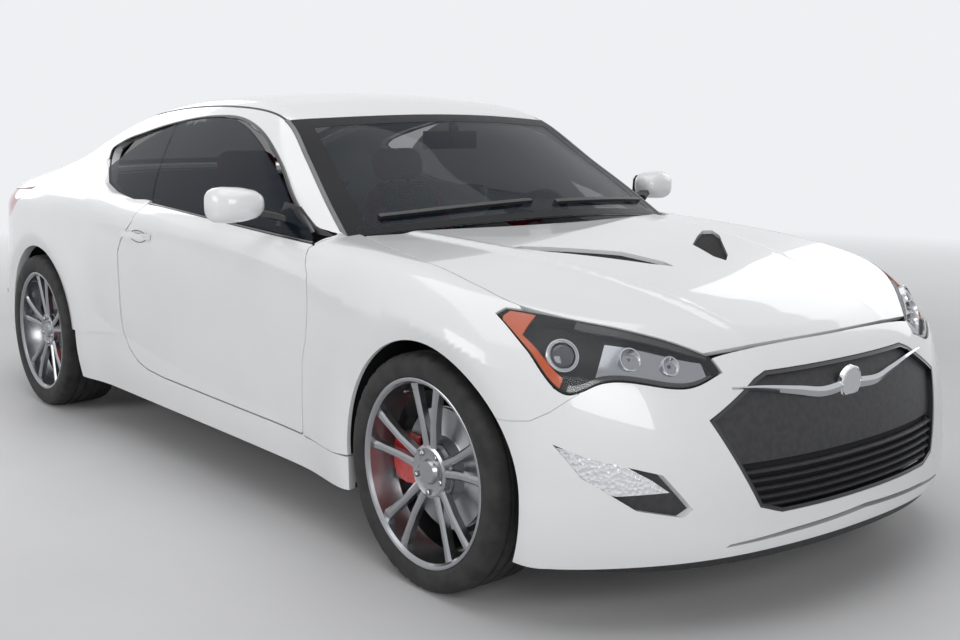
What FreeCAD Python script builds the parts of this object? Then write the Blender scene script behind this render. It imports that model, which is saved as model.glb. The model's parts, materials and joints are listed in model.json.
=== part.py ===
import FreeCAD, Part
import Sketcher
import math
import os

V = FreeCAD.Vector
PARTS_FOLDER = "parts"
os.makedirs(PARTS_FOLDER, exist_ok=True)
doc = FreeCAD.newDocument("coupe")

# Driving sizes, in millimetres and degrees.
# The car stands on z = 0, its nose points along -Y and its right side along -X.
SIZES = [
    ("front_overhang", 790), ("wheelbase", 2820), ("rear_overhang", 1020),
    ("body_width", 1865), ("body_height", 1385),
    ("front_track", 1600), ("rear_track", 1615),
    ("front_tyre_radius", 331), ("rear_tyre_radius", 339),
    ("front_tyre_width", 225), ("rear_tyre_width", 245),
    ("tread_shoulder", 14), ("bead_seat", 0.3),
    ("rim_radius", 258), ("rim_lip", 6), ("rim_well", 20), ("rim_wall", 7), ("rim_setback", 10),
    ("spoke_root", 17), ("spoke_tip", 13), ("spoke_spread", 36), ("spoke_depth", 24), ("spoke_setback", 22),
    ("hub_radius", 76), ("hub_depth", 46), ("centre_cap_radius", 33),
    ("bolt_circle", 114.3), ("bolt_hole_radius", 7), ("bolt_pocket_depth", 26),
    ("disc_radius_front", 170), ("disc_radius_rear", 160), ("disc_thickness", 26),
    ("disc_setback", 85), ("disc_bell_radius", 84), ("spindle_radius", 30), ("running_gap", 0.3),
    ("caliper_gap", 4), ("caliper_wall", 22), ("caliper_height", 66),
    ("front_arch_radius", 365), ("rear_arch_radius", 378),
    ("front_arch_height", 335), ("rear_arch_height", 345),
    ("skin_thickness", 14), ("hood_thickness", 22), ("roof_thickness", 24), ("side_thickness", 42),
    ("lid_thickness", 24), ("door_thickness", 82), ("bumper_thickness", 24),
    ("glass_thickness", 5), ("lamp_depth", 46), ("fog_lamp_depth", 26), ("fog_lamp_setback", 6),
    ("cowl_thickness", 12), ("cowl_depth", 34),
    ("shut_gap", 5), ("seam_gap", 0.8), ("glass_gap", 1.0), ("lamp_gap", 1.5),
    ("inner_sill_half_width", 838), ("inner_sill_width", 110), ("inner_sill_height", 96),
    ("floor_height", 190), ("floor_thickness", 16), ("trunk_floor_height", 450), ("muffler_height", 262),
    ("tunnel_half_width", 130), ("tunnel_height", 150), ("kingpin_side", 760), ("kingpin_reach", 165),
    ("kingpin_radius", 24), ("spindle_clearance", 0.05),
    ("firewall_thickness", 12),
    ("engine_width", 620), ("engine_length", 640), ("engine_height", 470), ("engine_base", 250),
    ("steering_wheel_radius", 184), ("steering_rim_radius", 15), ("steering_column_tilt", 24),
    ("steering_side", 365),
    ("seat_width", 460), ("seat_side", 375),
    ("exhaust_radius", 30), ("exhaust_tip_radius", 45), ("muffler_radius", 105), ("muffler_length", 430),
    ("shaft_radius", 16), ("arm_radius", 15), ("subframe_half_width", 480), ("rail_width", 60),
    ("trunk_half_width", 520), ("bumper_beam_low", 512), ("bumper_beam_height", 78),
    ("grille_slat_height", 9), ("grille_slat_pitch", 26), ("badge_radius", 48),
]
sheet = doc.addObject("Spreadsheet::Sheet", "Sizes")
for row, (alias, value) in enumerate(SIZES, start=1):
    sheet.set("A%d" % row, str(value))
    sheet.setAlias("A%d" % row, alias)
doc.recompute()
SIZE = {alias: float(sheet.get(alias)) for alias, value in SIZES}


class Quantity:
    """A length with its value and the sheet expression that gives it."""

    def __init__(self, value, text):
        self.value = float(value)
        self.text = text

    def __add__(self, other):
        other = quantity(other)
        return Quantity(self.value + other.value, "(%s + %s)" % (self.text, other.text))

    def __sub__(self, other):
        other = quantity(other)
        return Quantity(self.value - other.value, "(%s - %s)" % (self.text, other.text))

    def __mul__(self, factor):
        factor = quantity(factor)
        return Quantity(self.value * factor.value, "(%s * %s)" % (self.text, factor.text))

    def __truediv__(self, factor):
        factor = quantity(factor)
        return Quantity(self.value / factor.value, "(%s / %s)" % (self.text, factor.text))

    def __neg__(self):
        return Quantity(-self.value, "(0 - %s)" % self.text)


def quantity(value):
    return value if isinstance(value, Quantity) else Quantity(value, "(%r)" % float(value))


def size(alias):
    return Quantity(SIZE[alias], "Sizes." + alias)


# The body tables below were laid out on a nominal car; these are its sizes.
# "at" carries a nominal point to the car that the sheet describes.
NOMINAL_FRONT, NOMINAL_BASE, NOMINAL_REAR = 790.0, 2820.0, 1020.0
NOMINAL_WIDTH, NOMINAL_HEIGHT = 1865.0, 1385.0
FRONT_AXLE, REAR_AXLE = -NOMINAL_BASE / 2, NOMINAL_BASE / 2


def along(station):
    """Row-frame y of a nominal station, counted from the middle of the wheelbase."""
    half_base = SIZE["wheelbase"] / 2
    if station < FRONT_AXLE:
        y = -half_base + (station - FRONT_AXLE) * SIZE["front_overhang"] / NOMINAL_FRONT
    elif station > REAR_AXLE:
        y = half_base + (station - REAR_AXLE) * SIZE["rear_overhang"] / NOMINAL_REAR
    else:
        y = station * SIZE["wheelbase"] / NOMINAL_BASE
    return y + (SIZE["front_overhang"] - SIZE["rear_overhang"]) / 2


def at(point):
    x, station, z = point
    return V(x * SIZE["body_width"] / NOMINAL_WIDTH, along(station), z * SIZE["body_height"] / NOMINAL_HEIGHT)


def nominal_z(height):
    """Table height of a real one, for points that are carried over by "at"."""
    return height * NOMINAL_HEIGHT / SIZE["body_height"]


class Curve:
    """Smooth curve through one column of a table, against the table's first column."""

    def __init__(self, rows, column, run_on=False):
        self.xs = [float(row[0]) for row in rows]
        self.ys = [float(row[column]) for row in rows]
        self.run_on = run_on
        last = len(rows) - 1
        chords = [(self.ys[i + 1] - self.ys[i]) / (self.xs[i + 1] - self.xs[i]) for i in range(last)]
        self.slopes = [chords[0]]
        for i in range(1, last):
            before = self.xs[i] - self.xs[i - 1]
            after = self.xs[i + 1] - self.xs[i]
            self.slopes.append((chords[i - 1] * after + chords[i] * before) / (before + after))
        self.slopes.append(chords[-1])

    def __call__(self, x):
        xs, ys, slopes = self.xs, self.ys, self.slopes
        if x <= xs[0]:
            return ys[0] + (slopes[0] * (x - xs[0]) if self.run_on else 0.0)
        if x >= xs[-1]:
            return ys[-1] + (slopes[-1] * (x - xs[-1]) if self.run_on else 0.0)
        i = 0
        while xs[i + 1] < x:
            i += 1
        span = xs[i + 1] - xs[i]
        t = (x - xs[i]) / span
        return (ys[i] * (1 + 2 * t) * (1 - t) ** 2 + slopes[i] * span * t * (1 - t) ** 2
                + ys[i + 1] * t * t * (3 - 2 * t) + slopes[i + 1] * span * t * t * (t - 1))


# Lower body by station: height of the centre line on top, belt, waist, lower side and sill,
# each as height and half width.
LOWER_COLUMNS = ("deck", "belt_z", "belt_x", "waist_z", "waist_x", "low_z", "low_x", "sill_z", "sill_x")
LOWER = [
    (-2250, 672, 640, 820, 540, 900, 350, 900, 170, 880),
    (-2050, 718, 690, 840, 590, 905, 350, 905, 175, 882),
    (-1850, 788, 755, 858, 640, 910, 350, 908, 180, 885),
    (-1650, 838, 815, 870, 690, 912, 350, 908, 185, 888),
    (-1410, 883, 862, 874, 730, 910, 350, 902, 190, 888),
    (-1100, 918, 893, 874, 760, 903, 350, 896, 195, 885),
    (-850, 942, 908, 870, 800, 899, 350, 893, 200, 884),
    (-400, 955, 930, 866, 845, 902, 350, 895, 205, 884),
    (0, 968, 950, 864, 870, 905, 350, 897, 205, 885),
    (450, 985, 972, 860, 890, 906, 350, 899, 205, 886),
    (900, 1000, 988, 852, 890, 908, 370, 904, 205, 888),
    (1250, 1022, 996, 842, 880, 911, 390, 910, 210, 888),
    (1410, 1036, 998, 836, 875, 911, 400, 911, 215, 888),
    (1700, 1050, 998, 822, 865, 905, 400, 905, 225, 880),
    (2050, 1046, 992, 800, 855, 892, 400, 896, 240, 868),
    (2450, 1036, 980, 770, 845, 872, 400, 882, 255, 850),
]
# Cabin by station: roof height on the centre line, how far a roof line sweeps back for each square
# metre of half width, drop of the roof at its edge, half width of the glass at the belt and at the rail.
UPPER_COLUMNS = ("roof", "sweep", "crown", "glass_x", "rail_x")
UPPER = [
    (-1080, 885, 350, 26, 800, 610),
    (-985, 943, 350, 26, 805, 610),
    (-660, 1128, 340, 26, 812, 608),
    (-340, 1298, 300, 28, 818, 605),
    (-180, 1348, 180, 32, 822, 603),
    (0, 1372, 60, 36, 824, 601),
    (230, 1384, 0, 38, 824, 600),
    (450, 1380, 0, 38, 822, 597),
    (700, 1362, -60, 38, 816, 590),
    (1000, 1316, -160, 36, 800, 572),
    (1300, 1236, -240, 32, 776, 545),
    (1600, 1122, -260, 28, 745, 515),
    (1800, 1040, -260, 24, 715, 495),
    (2000, 950, -260, 20, 690, 480),
]
# Nose and tail on the centre line: height, station.
NOSE = [(120, -2140), (170, -2180), (210, -2196), (300, -2200), (400, -2190), (500, -2168), (580, -2140),
        (660, -2102), (720, -2066), (800, -2005), (950, -1880)]
TAIL = [(200, 2350), (300, 2400), (420, 2425), (560, 2430), (640, 2424), (760, 2392), (900, 2362),
        (1000, 2372), (1080, 2380)]
RAIL_HEIGHT = 1330.0
SEWING_TOLERANCE = 0.05
NOSE_START, TAIL_START = -1500.0, 1650.0
PLAN_SIDE_POWER, PLAN_NOSE_POWER, PLAN_TAIL_POWER = 2.2, 2.7, 2.6
SHOULDER_ROUND, CABIN_ROUND = 90.0, 80.0
FLARE_DEPTH, FLARE_OFFSET, FLARE_INSIDE, FLARE_OUTSIDE = 24.0, 55.0, 70.0, 150.0
# Fillet where the cabin meets the lower body: station, size.
CABIN_FILLET = [(-900, 8), (300, 8), (900, 120), (1500, 160)]
# Wheel arches: station, height, radius.
ARCHES = [
    (FRONT_AXLE - 15, SIZE["front_arch_height"], SIZE["front_arch_radius"]),
    (REAR_AXLE - 18, SIZE["rear_arch_height"], SIZE["rear_arch_radius"]),
]
NOMINAL_ARCH = ((-1425.0, 335.0, 365.0), (1392.0, 345.0, 378.0))
lower_curve = {name: Curve(LOWER, i + 1) for i, name in enumerate(LOWER_COLUMNS)}
upper_curve = {name: Curve(UPPER, i + 1, name == "roof") for i, name in enumerate(UPPER_COLUMNS)}
nose_curve = Curve(NOSE, 1)
tail_curve = Curve(TAIL, 1)


def clamp(value, low, high):
    return max(low, min(high, value))


def smooth_max(a, b, size):
    overlap = max(size - abs(a - b), 0.0)
    return max(a, b) + overlap * overlap / (4 * size)


def half_width(station, z):
    belt_z, belt_x, waist_z, waist_x, low_z, low_x, sill_z, sill_x = [
        lower_curve[name](station) for name in LOWER_COLUMNS[1:]]
    if z < low_z:
        t = clamp((z - sill_z) / (low_z - sill_z), -1, 1)
        width = sill_x + (low_x - sill_x) * math.sin(max(t, 0) * math.pi / 2) + min(t, 0) * 60
    elif z < waist_z:
        t = (z - low_z) / (waist_z - low_z)
        width = low_x + (waist_x - low_x) * t * t * (3 - 2 * t)
    else:
        width = waist_x - (waist_x - belt_x) * ((z - waist_z) / (belt_z - waist_z)) ** 2
    for centre, height, radius in NOMINAL_ARCH:
        past = math.hypot(station - centre, z - height) - radius - FLARE_OFFSET
        past /= FLARE_OUTSIDE if past > 0 else FLARE_INSIDE
        width += FLARE_DEPTH * math.exp(-past * past) * clamp((belt_z - z) / 120, 0, 1)
    return max(width, 400.0)


def lower_body(x, station, z):
    side = abs(x)
    width = half_width(station, z)
    nose = max((NOSE_START - station) / (NOSE_START - nose_curve(z)), 0.0)
    tail = max((station - TAIL_START) / (tail_curve(z) - TAIL_START), 0.0)
    reach = (side / width) ** PLAN_SIDE_POWER + nose ** PLAN_NOSE_POWER + tail ** PLAN_TAIL_POWER
    flank = width * (reach ** (1 / PLAN_SIDE_POWER) - 1)
    deck = lower_curve["deck"](station)
    drop = deck - lower_curve["belt_z"](station)
    top = z - deck + drop * min(side / lower_curve["belt_x"](station), 1.2) ** 2.4
    return smooth_max(flank, top, SHOULDER_ROUND)


def cabin(x, station, z):
    side = abs(x)
    line = station - upper_curve["sweep"](station) * (side / 1000) ** 2
    top = z - upper_curve["roof"](line) + upper_curve["crown"](station) * (side / 600) ** 2
    belt_z = lower_curve["belt_z"](station)
    t = clamp((z - belt_z) / (RAIL_HEIGHT - belt_z), -0.3, 1.2)
    lean = upper_curve["glass_x"](station) - upper_curve["rail_x"](station)
    glass = side - upper_curve["glass_x"](station) + lean * math.copysign(abs(t) ** 1.25, t)
    return smooth_max(glass, top, CABIN_ROUND)


def fillet_size(station):
    rows = CABIN_FILLET
    if station <= rows[0][0]:
        return rows[0][1]
    for (s0, f0), (s1, f1) in zip(rows, rows[1:]):
        if station <= s1:
            return f0 + (f1 - f0) * (station - s0) / (s1 - s0)
    return rows[-1][1]


def whole_body(x, station, z):
    return -smooth_max(-lower_body(x, station, z), -cabin(x, station, z), fillet_size(station))


def slope(shape, point, step=1.0):
    x, s, z = point
    return ((shape(x + step, s, z) - shape(x - step, s, z)) / (2 * step),
            (shape(x, s + step, z) - shape(x, s - step, z)) / (2 * step),
            (shape(x, s, z + step) - shape(x, s, z - step)) / (2 * step))


def snap(point, shape=whole_body):
    """Move a point along the surface's own normal until it lies on the body."""
    x, s, z = point
    for turn in range(7):
        value = shape(x, s, z)
        if abs(value) < 0.01:
            break
        gx, gs, gz = slope(shape, (x, s, z))
        size = gx * gx + gs * gs + gz * gz
        x, s, z = x - value * gx / size, s - value * gs / size, z - value * gz / size
    return (x, s, z)


def normal(point, shape=whole_body):
    direction = V(*slope(shape, point, 3.0))
    direction.x *= NOMINAL_WIDTH / SIZE["body_width"]
    direction.z *= NOMINAL_HEIGHT / SIZE["body_height"]
    return direction.normalize()


def stretch(line, count, start=0.0, end=0.0):
    """Points evenly along a line of rough points, with each end trimmed by a length."""
    lengths = [0.0]
    for a, b in zip(line, line[1:]):
        lengths.append(lengths[-1] + math.dist(a, b))
    rows = [(length,) + tuple(point) for length, point in zip(lengths, line)]
    curves = [Curve(rows, axis) for axis in (1, 2, 3)]
    first, last = start, lengths[-1] - end
    return [tuple(curve(first + (last - first) * i / (count - 1)) for curve in curves) for i in range(count)]


def net(lines, along_count, across_count, trims=(0, 0, 0, 0), shape=whole_body):
    """Grid of points on the body between two or three lines; trims are start, end, first and last."""
    start, end, first, last = trims
    rails = [stretch(line, along_count, start, end) for line in lines]
    grid = []
    for points in zip(*rails):
        width = sum(math.dist(a, b) for a, b in zip(points, points[1:]))
        row = []
        for j in range(across_count):
            t = first / width + (1 - (first + last) / width) * j / (across_count - 1)
            if len(points) == 2:
                weights = (1 - t, t)
            else:
                weights = ((1 - t) * (1 - 2 * t), 4 * t * (1 - t), t * (2 * t - 1))
            rough = tuple(sum(w * p[axis] for w, p in zip(weights, points)) for axis in range(3))
            row.append(snap(rough, shape))
        grid.append(row)
    return grid


def spline_surface(rows):
    spline = Part.BSplineSurface()
    spline.interpolate(rows)
    return spline


def border(spline, side):
    """One of a surface's four edge curves: start, end, first or last."""
    u0, u1, v0, v1 = spline.bounds()
    if side in ("start", "end"):
        return spline.uIso(u0 if side == "start" else u1).toShape()
    return spline.vIso(v0 if side == "first" else v1).toShape()


def panel(nets, thickness, shape=whole_body, inward=None, depth=0.0):
    """Closed solid of one thickness under nets that share their edges, in order across."""
    faces = []
    for number, grid in enumerate(nets):
        out_rows, in_rows = [], []
        for row in grid:
            starts = [at(point) for point in row]
            if inward is None:
                normals = [normal(point, shape) for point in row]
            else:
                normals = [V(*inward) * -1] * len(row)
            out_rows.append([start - out * depth for start, out in zip(starts, normals)])
            in_rows.append([start - out * (depth + thickness) for start, out in zip(starts, normals)])
        outer, inner = spline_surface(out_rows), spline_surface(in_rows)
        faces += [outer.toShape(), inner.toShape()]
        sides = ["start", "end"]
        if number == 0:
            sides.append("first")
        if number == len(nets) - 1:
            sides.append("last")
        for side in sides:
            faces.append(Part.makeRuledSurface(border(outer, side), border(inner, side)))
    shell = Part.makeShell(faces)
    shell.sewShape(SEWING_TOLERANCE)
    solid = Part.makeSolid(shell.Shells[0])
    if solid.Volume < 0:
        solid.reverse()
    return solid


def mirrored(shape):
    return shape.mirror(V(0, 0, 0), V(1, 0, 0))


def both_sides(shape):
    return Part.makeCompound([shape, mirrored(shape)])


def grown(outline, amount):
    """Outline moved outwards all round, or inwards when the amount is negative."""
    area = sum(a[0] * b[1] - b[0] * a[1] for a, b in zip(outline, outline[1:] + outline[:1]))
    turn = 1 if area > 0 else -1
    moved = []
    count = len(outline)
    for i in range(count):
        before, here, after = outline[i - 1], outline[i], outline[(i + 1) % count]
        ax, ay = here[0] - before[0], here[1] - before[1]
        bx, by = after[0] - here[0], after[1] - here[1]
        la, lb = math.hypot(ax, ay), math.hypot(bx, by)
        nx, ny = (ay / la + by / lb) * turn, -(ax / la + bx / lb) * turn
        size = max((nx * nx + ny * ny) / 2, 0.2)
        moved.append((here[0] + nx * amount / size, here[1] + ny * amount / size))
    return moved


def side_prism(outline, x0, x1):
    """Prism across the car over an outline of stations and heights."""
    points = [at((x0, s, z)) for s, z in outline]
    wire = Part.makePolygon(points + points[:1])
    return Part.Face(wire).extrude(at((x1, 0, 0)) - at((x0, 0, 0)))


def plan_prism(outline, z0, z1):
    """Upright prism over an outline of half widths and stations."""
    points = [at((x, s, z0)) for x, s in outline]
    wire = Part.makePolygon(points + points[:1])
    return Part.Face(wire).extrude(at((0, 0, z1)) - at((0, 0, z0)))


def box(x0, x1, s0, s1, z0, z1):
    low, high = at((x0, s0, z0)), at((x1, s1, z1))
    return Part.makeBox(high.x - low.x, high.y - low.y, high.z - low.z, low)


ARCH_START, ARCH_REACH = 480.0, 600.0


def arch_hole(arch, clearance=0.0):
    station, height, radius = arch
    centre = at((0, station, height))
    return Part.makeCylinder(radius + clearance, ARCH_REACH, V(ARCH_START, centre.y, height), V(1, 0, 0))


made = []


def add_shape(label, shape):
    feature = doc.addObject("Part::Feature", label)
    feature.Label = label
    feature.Shape = shape
    made.append(feature)
    return feature


# Feature lines of the right-hand side's mirror image, read off the car: half width, station, height.
HOOD_SIDE = [(697, -848, 930), (735, -1001, 909), (777, -1352, 875), (792, -1529, 846), (784, -1660, 815)]
LAMP_TOP = [(784, -1660, 815), (724, -1762, 790), (617, -1868, 762), (522, -1951, 730), (459, -2006, 699)]
HOOD_CENTRE = [(0, -990, 943), (0, -1300, 890), (0, -1650, 838), (0, -1900, 775), (0, -2052, 712)]
LAMP_BOTTOM = [(843, -1652, 797), (836, -1760, 715), (802, -1882, 619), (736, -1924, 645), (523, -2043, 630),
               (436, -2050, 655)]
LAMP_UPPER = [(812, -1656, 808), (724, -1762, 790), (617, -1868, 762), (522, -1951, 730), (445, -2018, 690)]
FENDER_TOP = [(690, -740, 938), (697, -848, 930), (735, -1001, 909), (777, -1352, 875), (792, -1529, 846),
              (788, -1610, 828), (812, -1652, 808), (840, -1670, 788), (836, -1760, 715), (802, -1882, 619)]
FENDER_BOTTOM = [(893, -740, 310), (893, -800, 310), (890, -1000, 305), (889, -1200, 320), (890, -1400, 400),
                 (895, -1550, 480), (900, -1650, 540), (880, -1780, 552), (818, -1856, 600)]
BUMPER_TOP = [(0, -2056, 706), (200, -2046, 702), (330, -2040, 690), (436, -2050, 655), (523, -2043, 625),
              (736, -1924, 641), (802, -1882, 615), (872, -1816, 550), (903, -1700, 546)]
BUMPER_BOTTOM = [(0, -2180, 178), (200, -2165, 178), (330, -2140, 177), (450, -2100, 176), (560, -2045, 175),
                 (700, -1960, 174), (790, -1880, 173), (850, -1790, 172), (880, -1685, 172)]
GLASS_CENTRE = [(0, -970, 950), (0, -760, 1075), (0, -540, 1195), (0, -345, 1296)]
ROOF_CENTRE = [(0, -345, 1296), (0, -60, 1365), (0, 230, 1384), (0, 600, 1372), (0, 950, 1325)]
BACK_CENTRE = [(0, 950, 1325), (0, 1250, 1252), (0, 1550, 1142), (0, 1760, 1060)]
LID_SIDE = [(560, 1752, 1036), (625, 1900, 1028), (645, 2100, 1018), (646, 2262, 995), (640, 2320, 930),
            (636, 2335, 870), (632, 2340, 812)]
LID_CENTRE = [(0, 1790, 1048), (0, 2050, 1046), (0, 2250, 1040), (0, 2350, 1025), (0, 2366, 950),
              (0, 2372, 880), (0, 2385, 812)]
# Outlines in side view: station, height.
DOOR_OUTLINE = [(-787, 1010), (-787, 889), (-842, 817), (-836, 720), (-824, 628), (-796, 544), (-790, 420),
                (-789, 322), (-782, 313), (-619, 315), (-204, 320), (200, 326), (341, 336), (430, 357),
                (505, 400), (545, 448), (552, 500), (552, 700), (545, 770), (510, 815), (404, 892),
                (395, 940), (410, 1010)]
WINDOW_OUTLINE = [(-790, 885), (-690, 905), (-400, 926), (0, 950), (300, 964), (450, 972), (570, 967),
                  (739, 988), (862, 1018), (985, 1110), (1018, 1152), (960, 1180), (766, 1224), (498, 1268),
                  (252, 1288), (-7, 1275), (-222, 1217), (-388, 1128), (-538, 1026), (-700, 925)]
BELT_LINE = [(845, -1050, 905), (850, -850, 912), (850, -400, 932), (848, 0, 953), (845, 450, 975),
             (838, 900, 992), (830, 1250, 1000), (820, 1550, 1003), (812, 1750, 1002)]
QUARTER_BOTTOM = [(893, -850, 425), (897, 0, 432), (902, 530, 439), (905, 975, 403), (908, 1392, 420),
                  (900, 1700, 500), (880, 2000, 560), (800, 2250, 600), (740, 2310, 620)]
SHOULDER = [(856, -790, 905)] + BELT_LINE[2:] + [(800, 2000, 995), (770, 2150, 988), (715, 2270, 975)]
SIDE_TOP = [(738, -814, 940), (700, -650, 1032), (640, -430, 1160), (594, -233, 1262), (594, -60, 1309),
            (597, 150, 1335), (592, 500, 1335), (575, 850, 1290), (548, 1150, 1210), (515, 1450, 1120),
            (505, 1660, 1058), (585, 1750, 1038), (640, 1900, 1030), (655, 2100, 1018), (652, 2262, 995)]
SKIRT_TOP = [(889, -1058, 300), (893, -700, 302), (896, 0, 308), (897, 330, 322), (900, 560, 412),
             (902, 700, 408), (903, 975, 388)]
SKIRT_BOTTOM = [(888, -1058, 200), (884, -700, 203), (885, 0, 205), (887, 330, 205), (888, 640, 206),
                (890, 960, 208)]
TAIL_LAMP_TOP = [(848, 1560, 972), (850, 1740, 955), (812, 2000, 952), (745, 2190, 950), (652, 2300, 948)]
TAIL_LAMP_BOTTOM = [(862, 1575, 965), (912, 1785, 835), (890, 1960, 832), (820, 2150, 828), (650, 2322, 822)]
REAR_TOP = [(0, 2395, 804), (300, 2380, 804), (560, 2345, 806), (650, 2318, 812), (740, 2262, 816),
            (830, 2140, 820), (890, 1960, 824), (915, 1740, 826)]
REAR_BOTTOM = [(0, 2395, 275), (300, 2385, 275), (560, 2330, 275), (640, 2290, 275), (720, 2220, 275),
               (800, 2110, 275), (850, 1960, 275), (880, 1640, 275)]
REAR_SEAM = [(1786, 1200), (1786, 829), (1790, 700), (1700, 562), (1600, 540), (1600, 150), (2700, 150),
             (2700, 1200)]
REAR_WASTE = [(1786, 829), (1790, 700), (1700, 562), (1600, 540), (1600, 150), (2700, 150), (2700, 829)]
HOOD_REAR_GAP = 12.0
trim = SIZE["shut_gap"] / 2
seam = SIZE["seam_gap"] / 2
glass_edge = SIZE["glass_gap"] / 2
lamp_edge = SIZE["lamp_gap"]


def portion(line, first, last, count=25):
    """Part of a smooth line between two of its points, as seen by every panel that shares it."""
    lengths = [0.0]
    for a, b in zip(line, line[1:]):
        lengths.append(lengths[-1] + math.dist(a, b))
    return stretch(line, count, lengths[first], lengths[-1] - lengths[last])


def mirror_line(line):
    return [(-x, s, z) for x, s, z in line]


def three_lines(side_line, centre_line):
    return [mirror_line(side_line), centre_line, side_line]


def region(outline, holes=()):
    """Flat face in side view, with holes taken out."""
    points = [at((0, s, z)) for s, z in outline]
    face = Part.Face(Part.makePolygon(points + points[:1]))
    for hole in holes:
        face = face.cut(hole)
    return face


def arch_face(arch, clearance=0.0):
    station, height, radius = arch
    circle = Part.makeCircle(radius + clearance, V(0, along(station), height), V(1, 0, 0))
    return Part.Face(Part.Wire(circle))


def across(face, start=450.0, length=650.0):
    """Prism across one side of the car over a side-view face."""
    prism = face.extrude(V(length, 0, 0))
    prism.translate(V(start, 0, 0))
    return prism


def front_region(outline, holes=()):
    points = [at((x, 0, z)) for x, z in outline]
    face = Part.Face(Part.makePolygon(points + points[:1]))
    for hole in holes:
        face = face.cut(front_region(hole))
    return face


def trimmed(make_panel, prism, least=0.02):
    """Panel inside a prism; a finer net is tried where the cut of the first one comes out broken."""
    for extra in (0, 2, 5, 3):
        slab = make_panel(extra)
        kept = slab.common(prism)
        if kept.isValid() and kept.Volume > least * slab.Volume:
            return kept
    raise ValueError("a panel could not be trimmed")


def largest(shape):
    return max(shape.Solids, key=lambda solid: solid.Volume)


# Hood
hood_lines = three_lines(HOOD_SIDE + LAMP_TOP[1:], HOOD_CENTRE)
hood_net = net(hood_lines, 17, 17, (HOOD_REAR_GAP, trim, trim, trim), lower_body)
hood = panel([hood_net], SIZE["hood_thickness"], lower_body)
VENT_OUTLINE = [(118, -1604), (112, -1560), (165, -1430), (300, -1335), (412, -1262), (455, -1268), (400, -1345),
                (290, -1450), (180, -1560)]
vent_hole = plan_prism(VENT_OUTLINE, 700, 1000)
hood = hood.cut(vent_hole).cut(mirrored(vent_hole))

# Roof, windshield and rear window
roof_net = net(three_lines(portion(SIDE_TOP, 3, 7), ROOF_CENTRE), 13, 13, (glass_edge, glass_edge, seam, seam),
               cabin)
roof = panel([roof_net], SIZE["roof_thickness"], cabin)
screen_lines = three_lines(portion(SIDE_TOP, 0, 3), GLASS_CENTRE)
screen_net = net(screen_lines, 9, 13, (glass_edge,) * 4, cabin)
windshield = panel([screen_net], SIZE["glass_thickness"], cabin)
back_net = net(three_lines(portion(SIDE_TOP, 7, 10), BACK_CENTRE), 17, 13,
               (glass_edge, glass_edge, lamp_edge, lamp_edge), cabin)
rear_window = panel([back_net], SIZE["glass_thickness"], cabin)

# Trunk lid
lid_net = net(three_lines(LID_SIDE, LID_CENTRE), 17, 13, (trim,) * 4, lower_body)
lid = panel([lid_net], SIZE["lid_thickness"], lower_body)

# Fender, cut back to the door's shut line and the wheel arch
FENDER_REGION = [(-2300, 200), (-789, 200), (-790, 420), (-796, 544), (-824, 628), (-836, 720), (-842, 817),
                 (-787, 889), (-830, 935), (-850, 960), (-2300, 960)]
shut = SIZE["shut_gap"]
fender_prism = across(region([(s - (shut if s > -2000 else 0), z) for s, z in FENDER_REGION],
                             [arch_face(ARCHES[0])]))
fender = trimmed(lambda extra: panel([net([FENDER_TOP, FENDER_BOTTOM], 25 + extra, 13 + extra,
                                          (0, seam, trim, seam), lower_body)],
                                     SIZE["skin_thickness"], lower_body), fender_prism)
# Rooms are thick cutters, from ROOM_COVER above the skin, that clear a neighbour of a panel's place
ROOM_COVER, ROOM_DEPTH = 40.0, 140.0
HOOD_SIDE_GAP = 0.8 * trim


def room(grid):
    return panel([grid], ROOM_DEPTH, lower_body, None, -ROOM_COVER)


hood_room = room(net(hood_lines, 17, 17, (0, -HOOD_SIDE_GAP, -HOOD_SIDE_GAP, -HOOD_SIDE_GAP), lower_body))
lamp_room = room(net([LAMP_UPPER, LAMP_BOTTOM], 13, 7, (0, 0, -seam, -2 * seam), lower_body))
fender = largest(fender.cut(lamp_room))
fender = largest(fender.cut(hood_room))

# Front bumper
GRILLE_OUTLINE = [(-310, 648), (310, 648), (352, 634), (512, 548), (398, 322), (330, 300), (-330, 300),
                  (-398, 322), (-512, 548), (-352, 634)]
FOG_OUTLINE = [(842, 500), (790, 470), (640, 425), (575, 335), (600, 318), (700, 340), (800, 420)]
# Halves run past the centre plane by CENTRE_LAP before they are joined
CENTRE_LAP = 1.0
FRONT_REGION = [(-CENTRE_LAP, 0), (1100, 0), (1100, 1000), (-CENTRE_LAP, 1000)]
front_face = front_region(FRONT_REGION, [GRILLE_OUTLINE, FOG_OUTLINE])
PRISM_START, PRISM_LENGTH = -2400, 900


def bumper_slab(extra, thickness=SIZE["bumper_thickness"], depth=0.0):
    rows = net([BUMPER_TOP, BUMPER_BOTTOM], 25 + extra, 13 + extra, (0, 0, seam, 0), lower_body)
    return panel([rows], thickness, lower_body, None, depth)


def forward_prism(face):
    """Prism along the front of the car over a front-view face."""
    prism = face.extrude(V(0, PRISM_LENGTH, 0))
    prism.translate(V(0, along(PRISM_START), 0))
    return prism


front_bumper = trimmed(bumper_slab, forward_prism(front_face).cut(arch_hole(ARCHES[0])))
front_bumper = largest(front_bumper.cut(lamp_room))
front_bumper = front_bumper.fuse(mirrored(front_bumper))

# Rear bumper
rear_bumper = trimmed(lambda extra: panel([net([REAR_TOP, REAR_BOTTOM], 21 + extra, 11 + extra,
                                               (0, 0, seam, 0), lower_body)],
                                          SIZE["bumper_thickness"], lower_body),
                      across(region(grown(REAR_SEAM, -seam), [arch_face(ARCHES[1])]), -CENTRE_LAP, 1100.0))
rear_bumper = rear_bumper.fuse(mirrored(rear_bumper))

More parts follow.
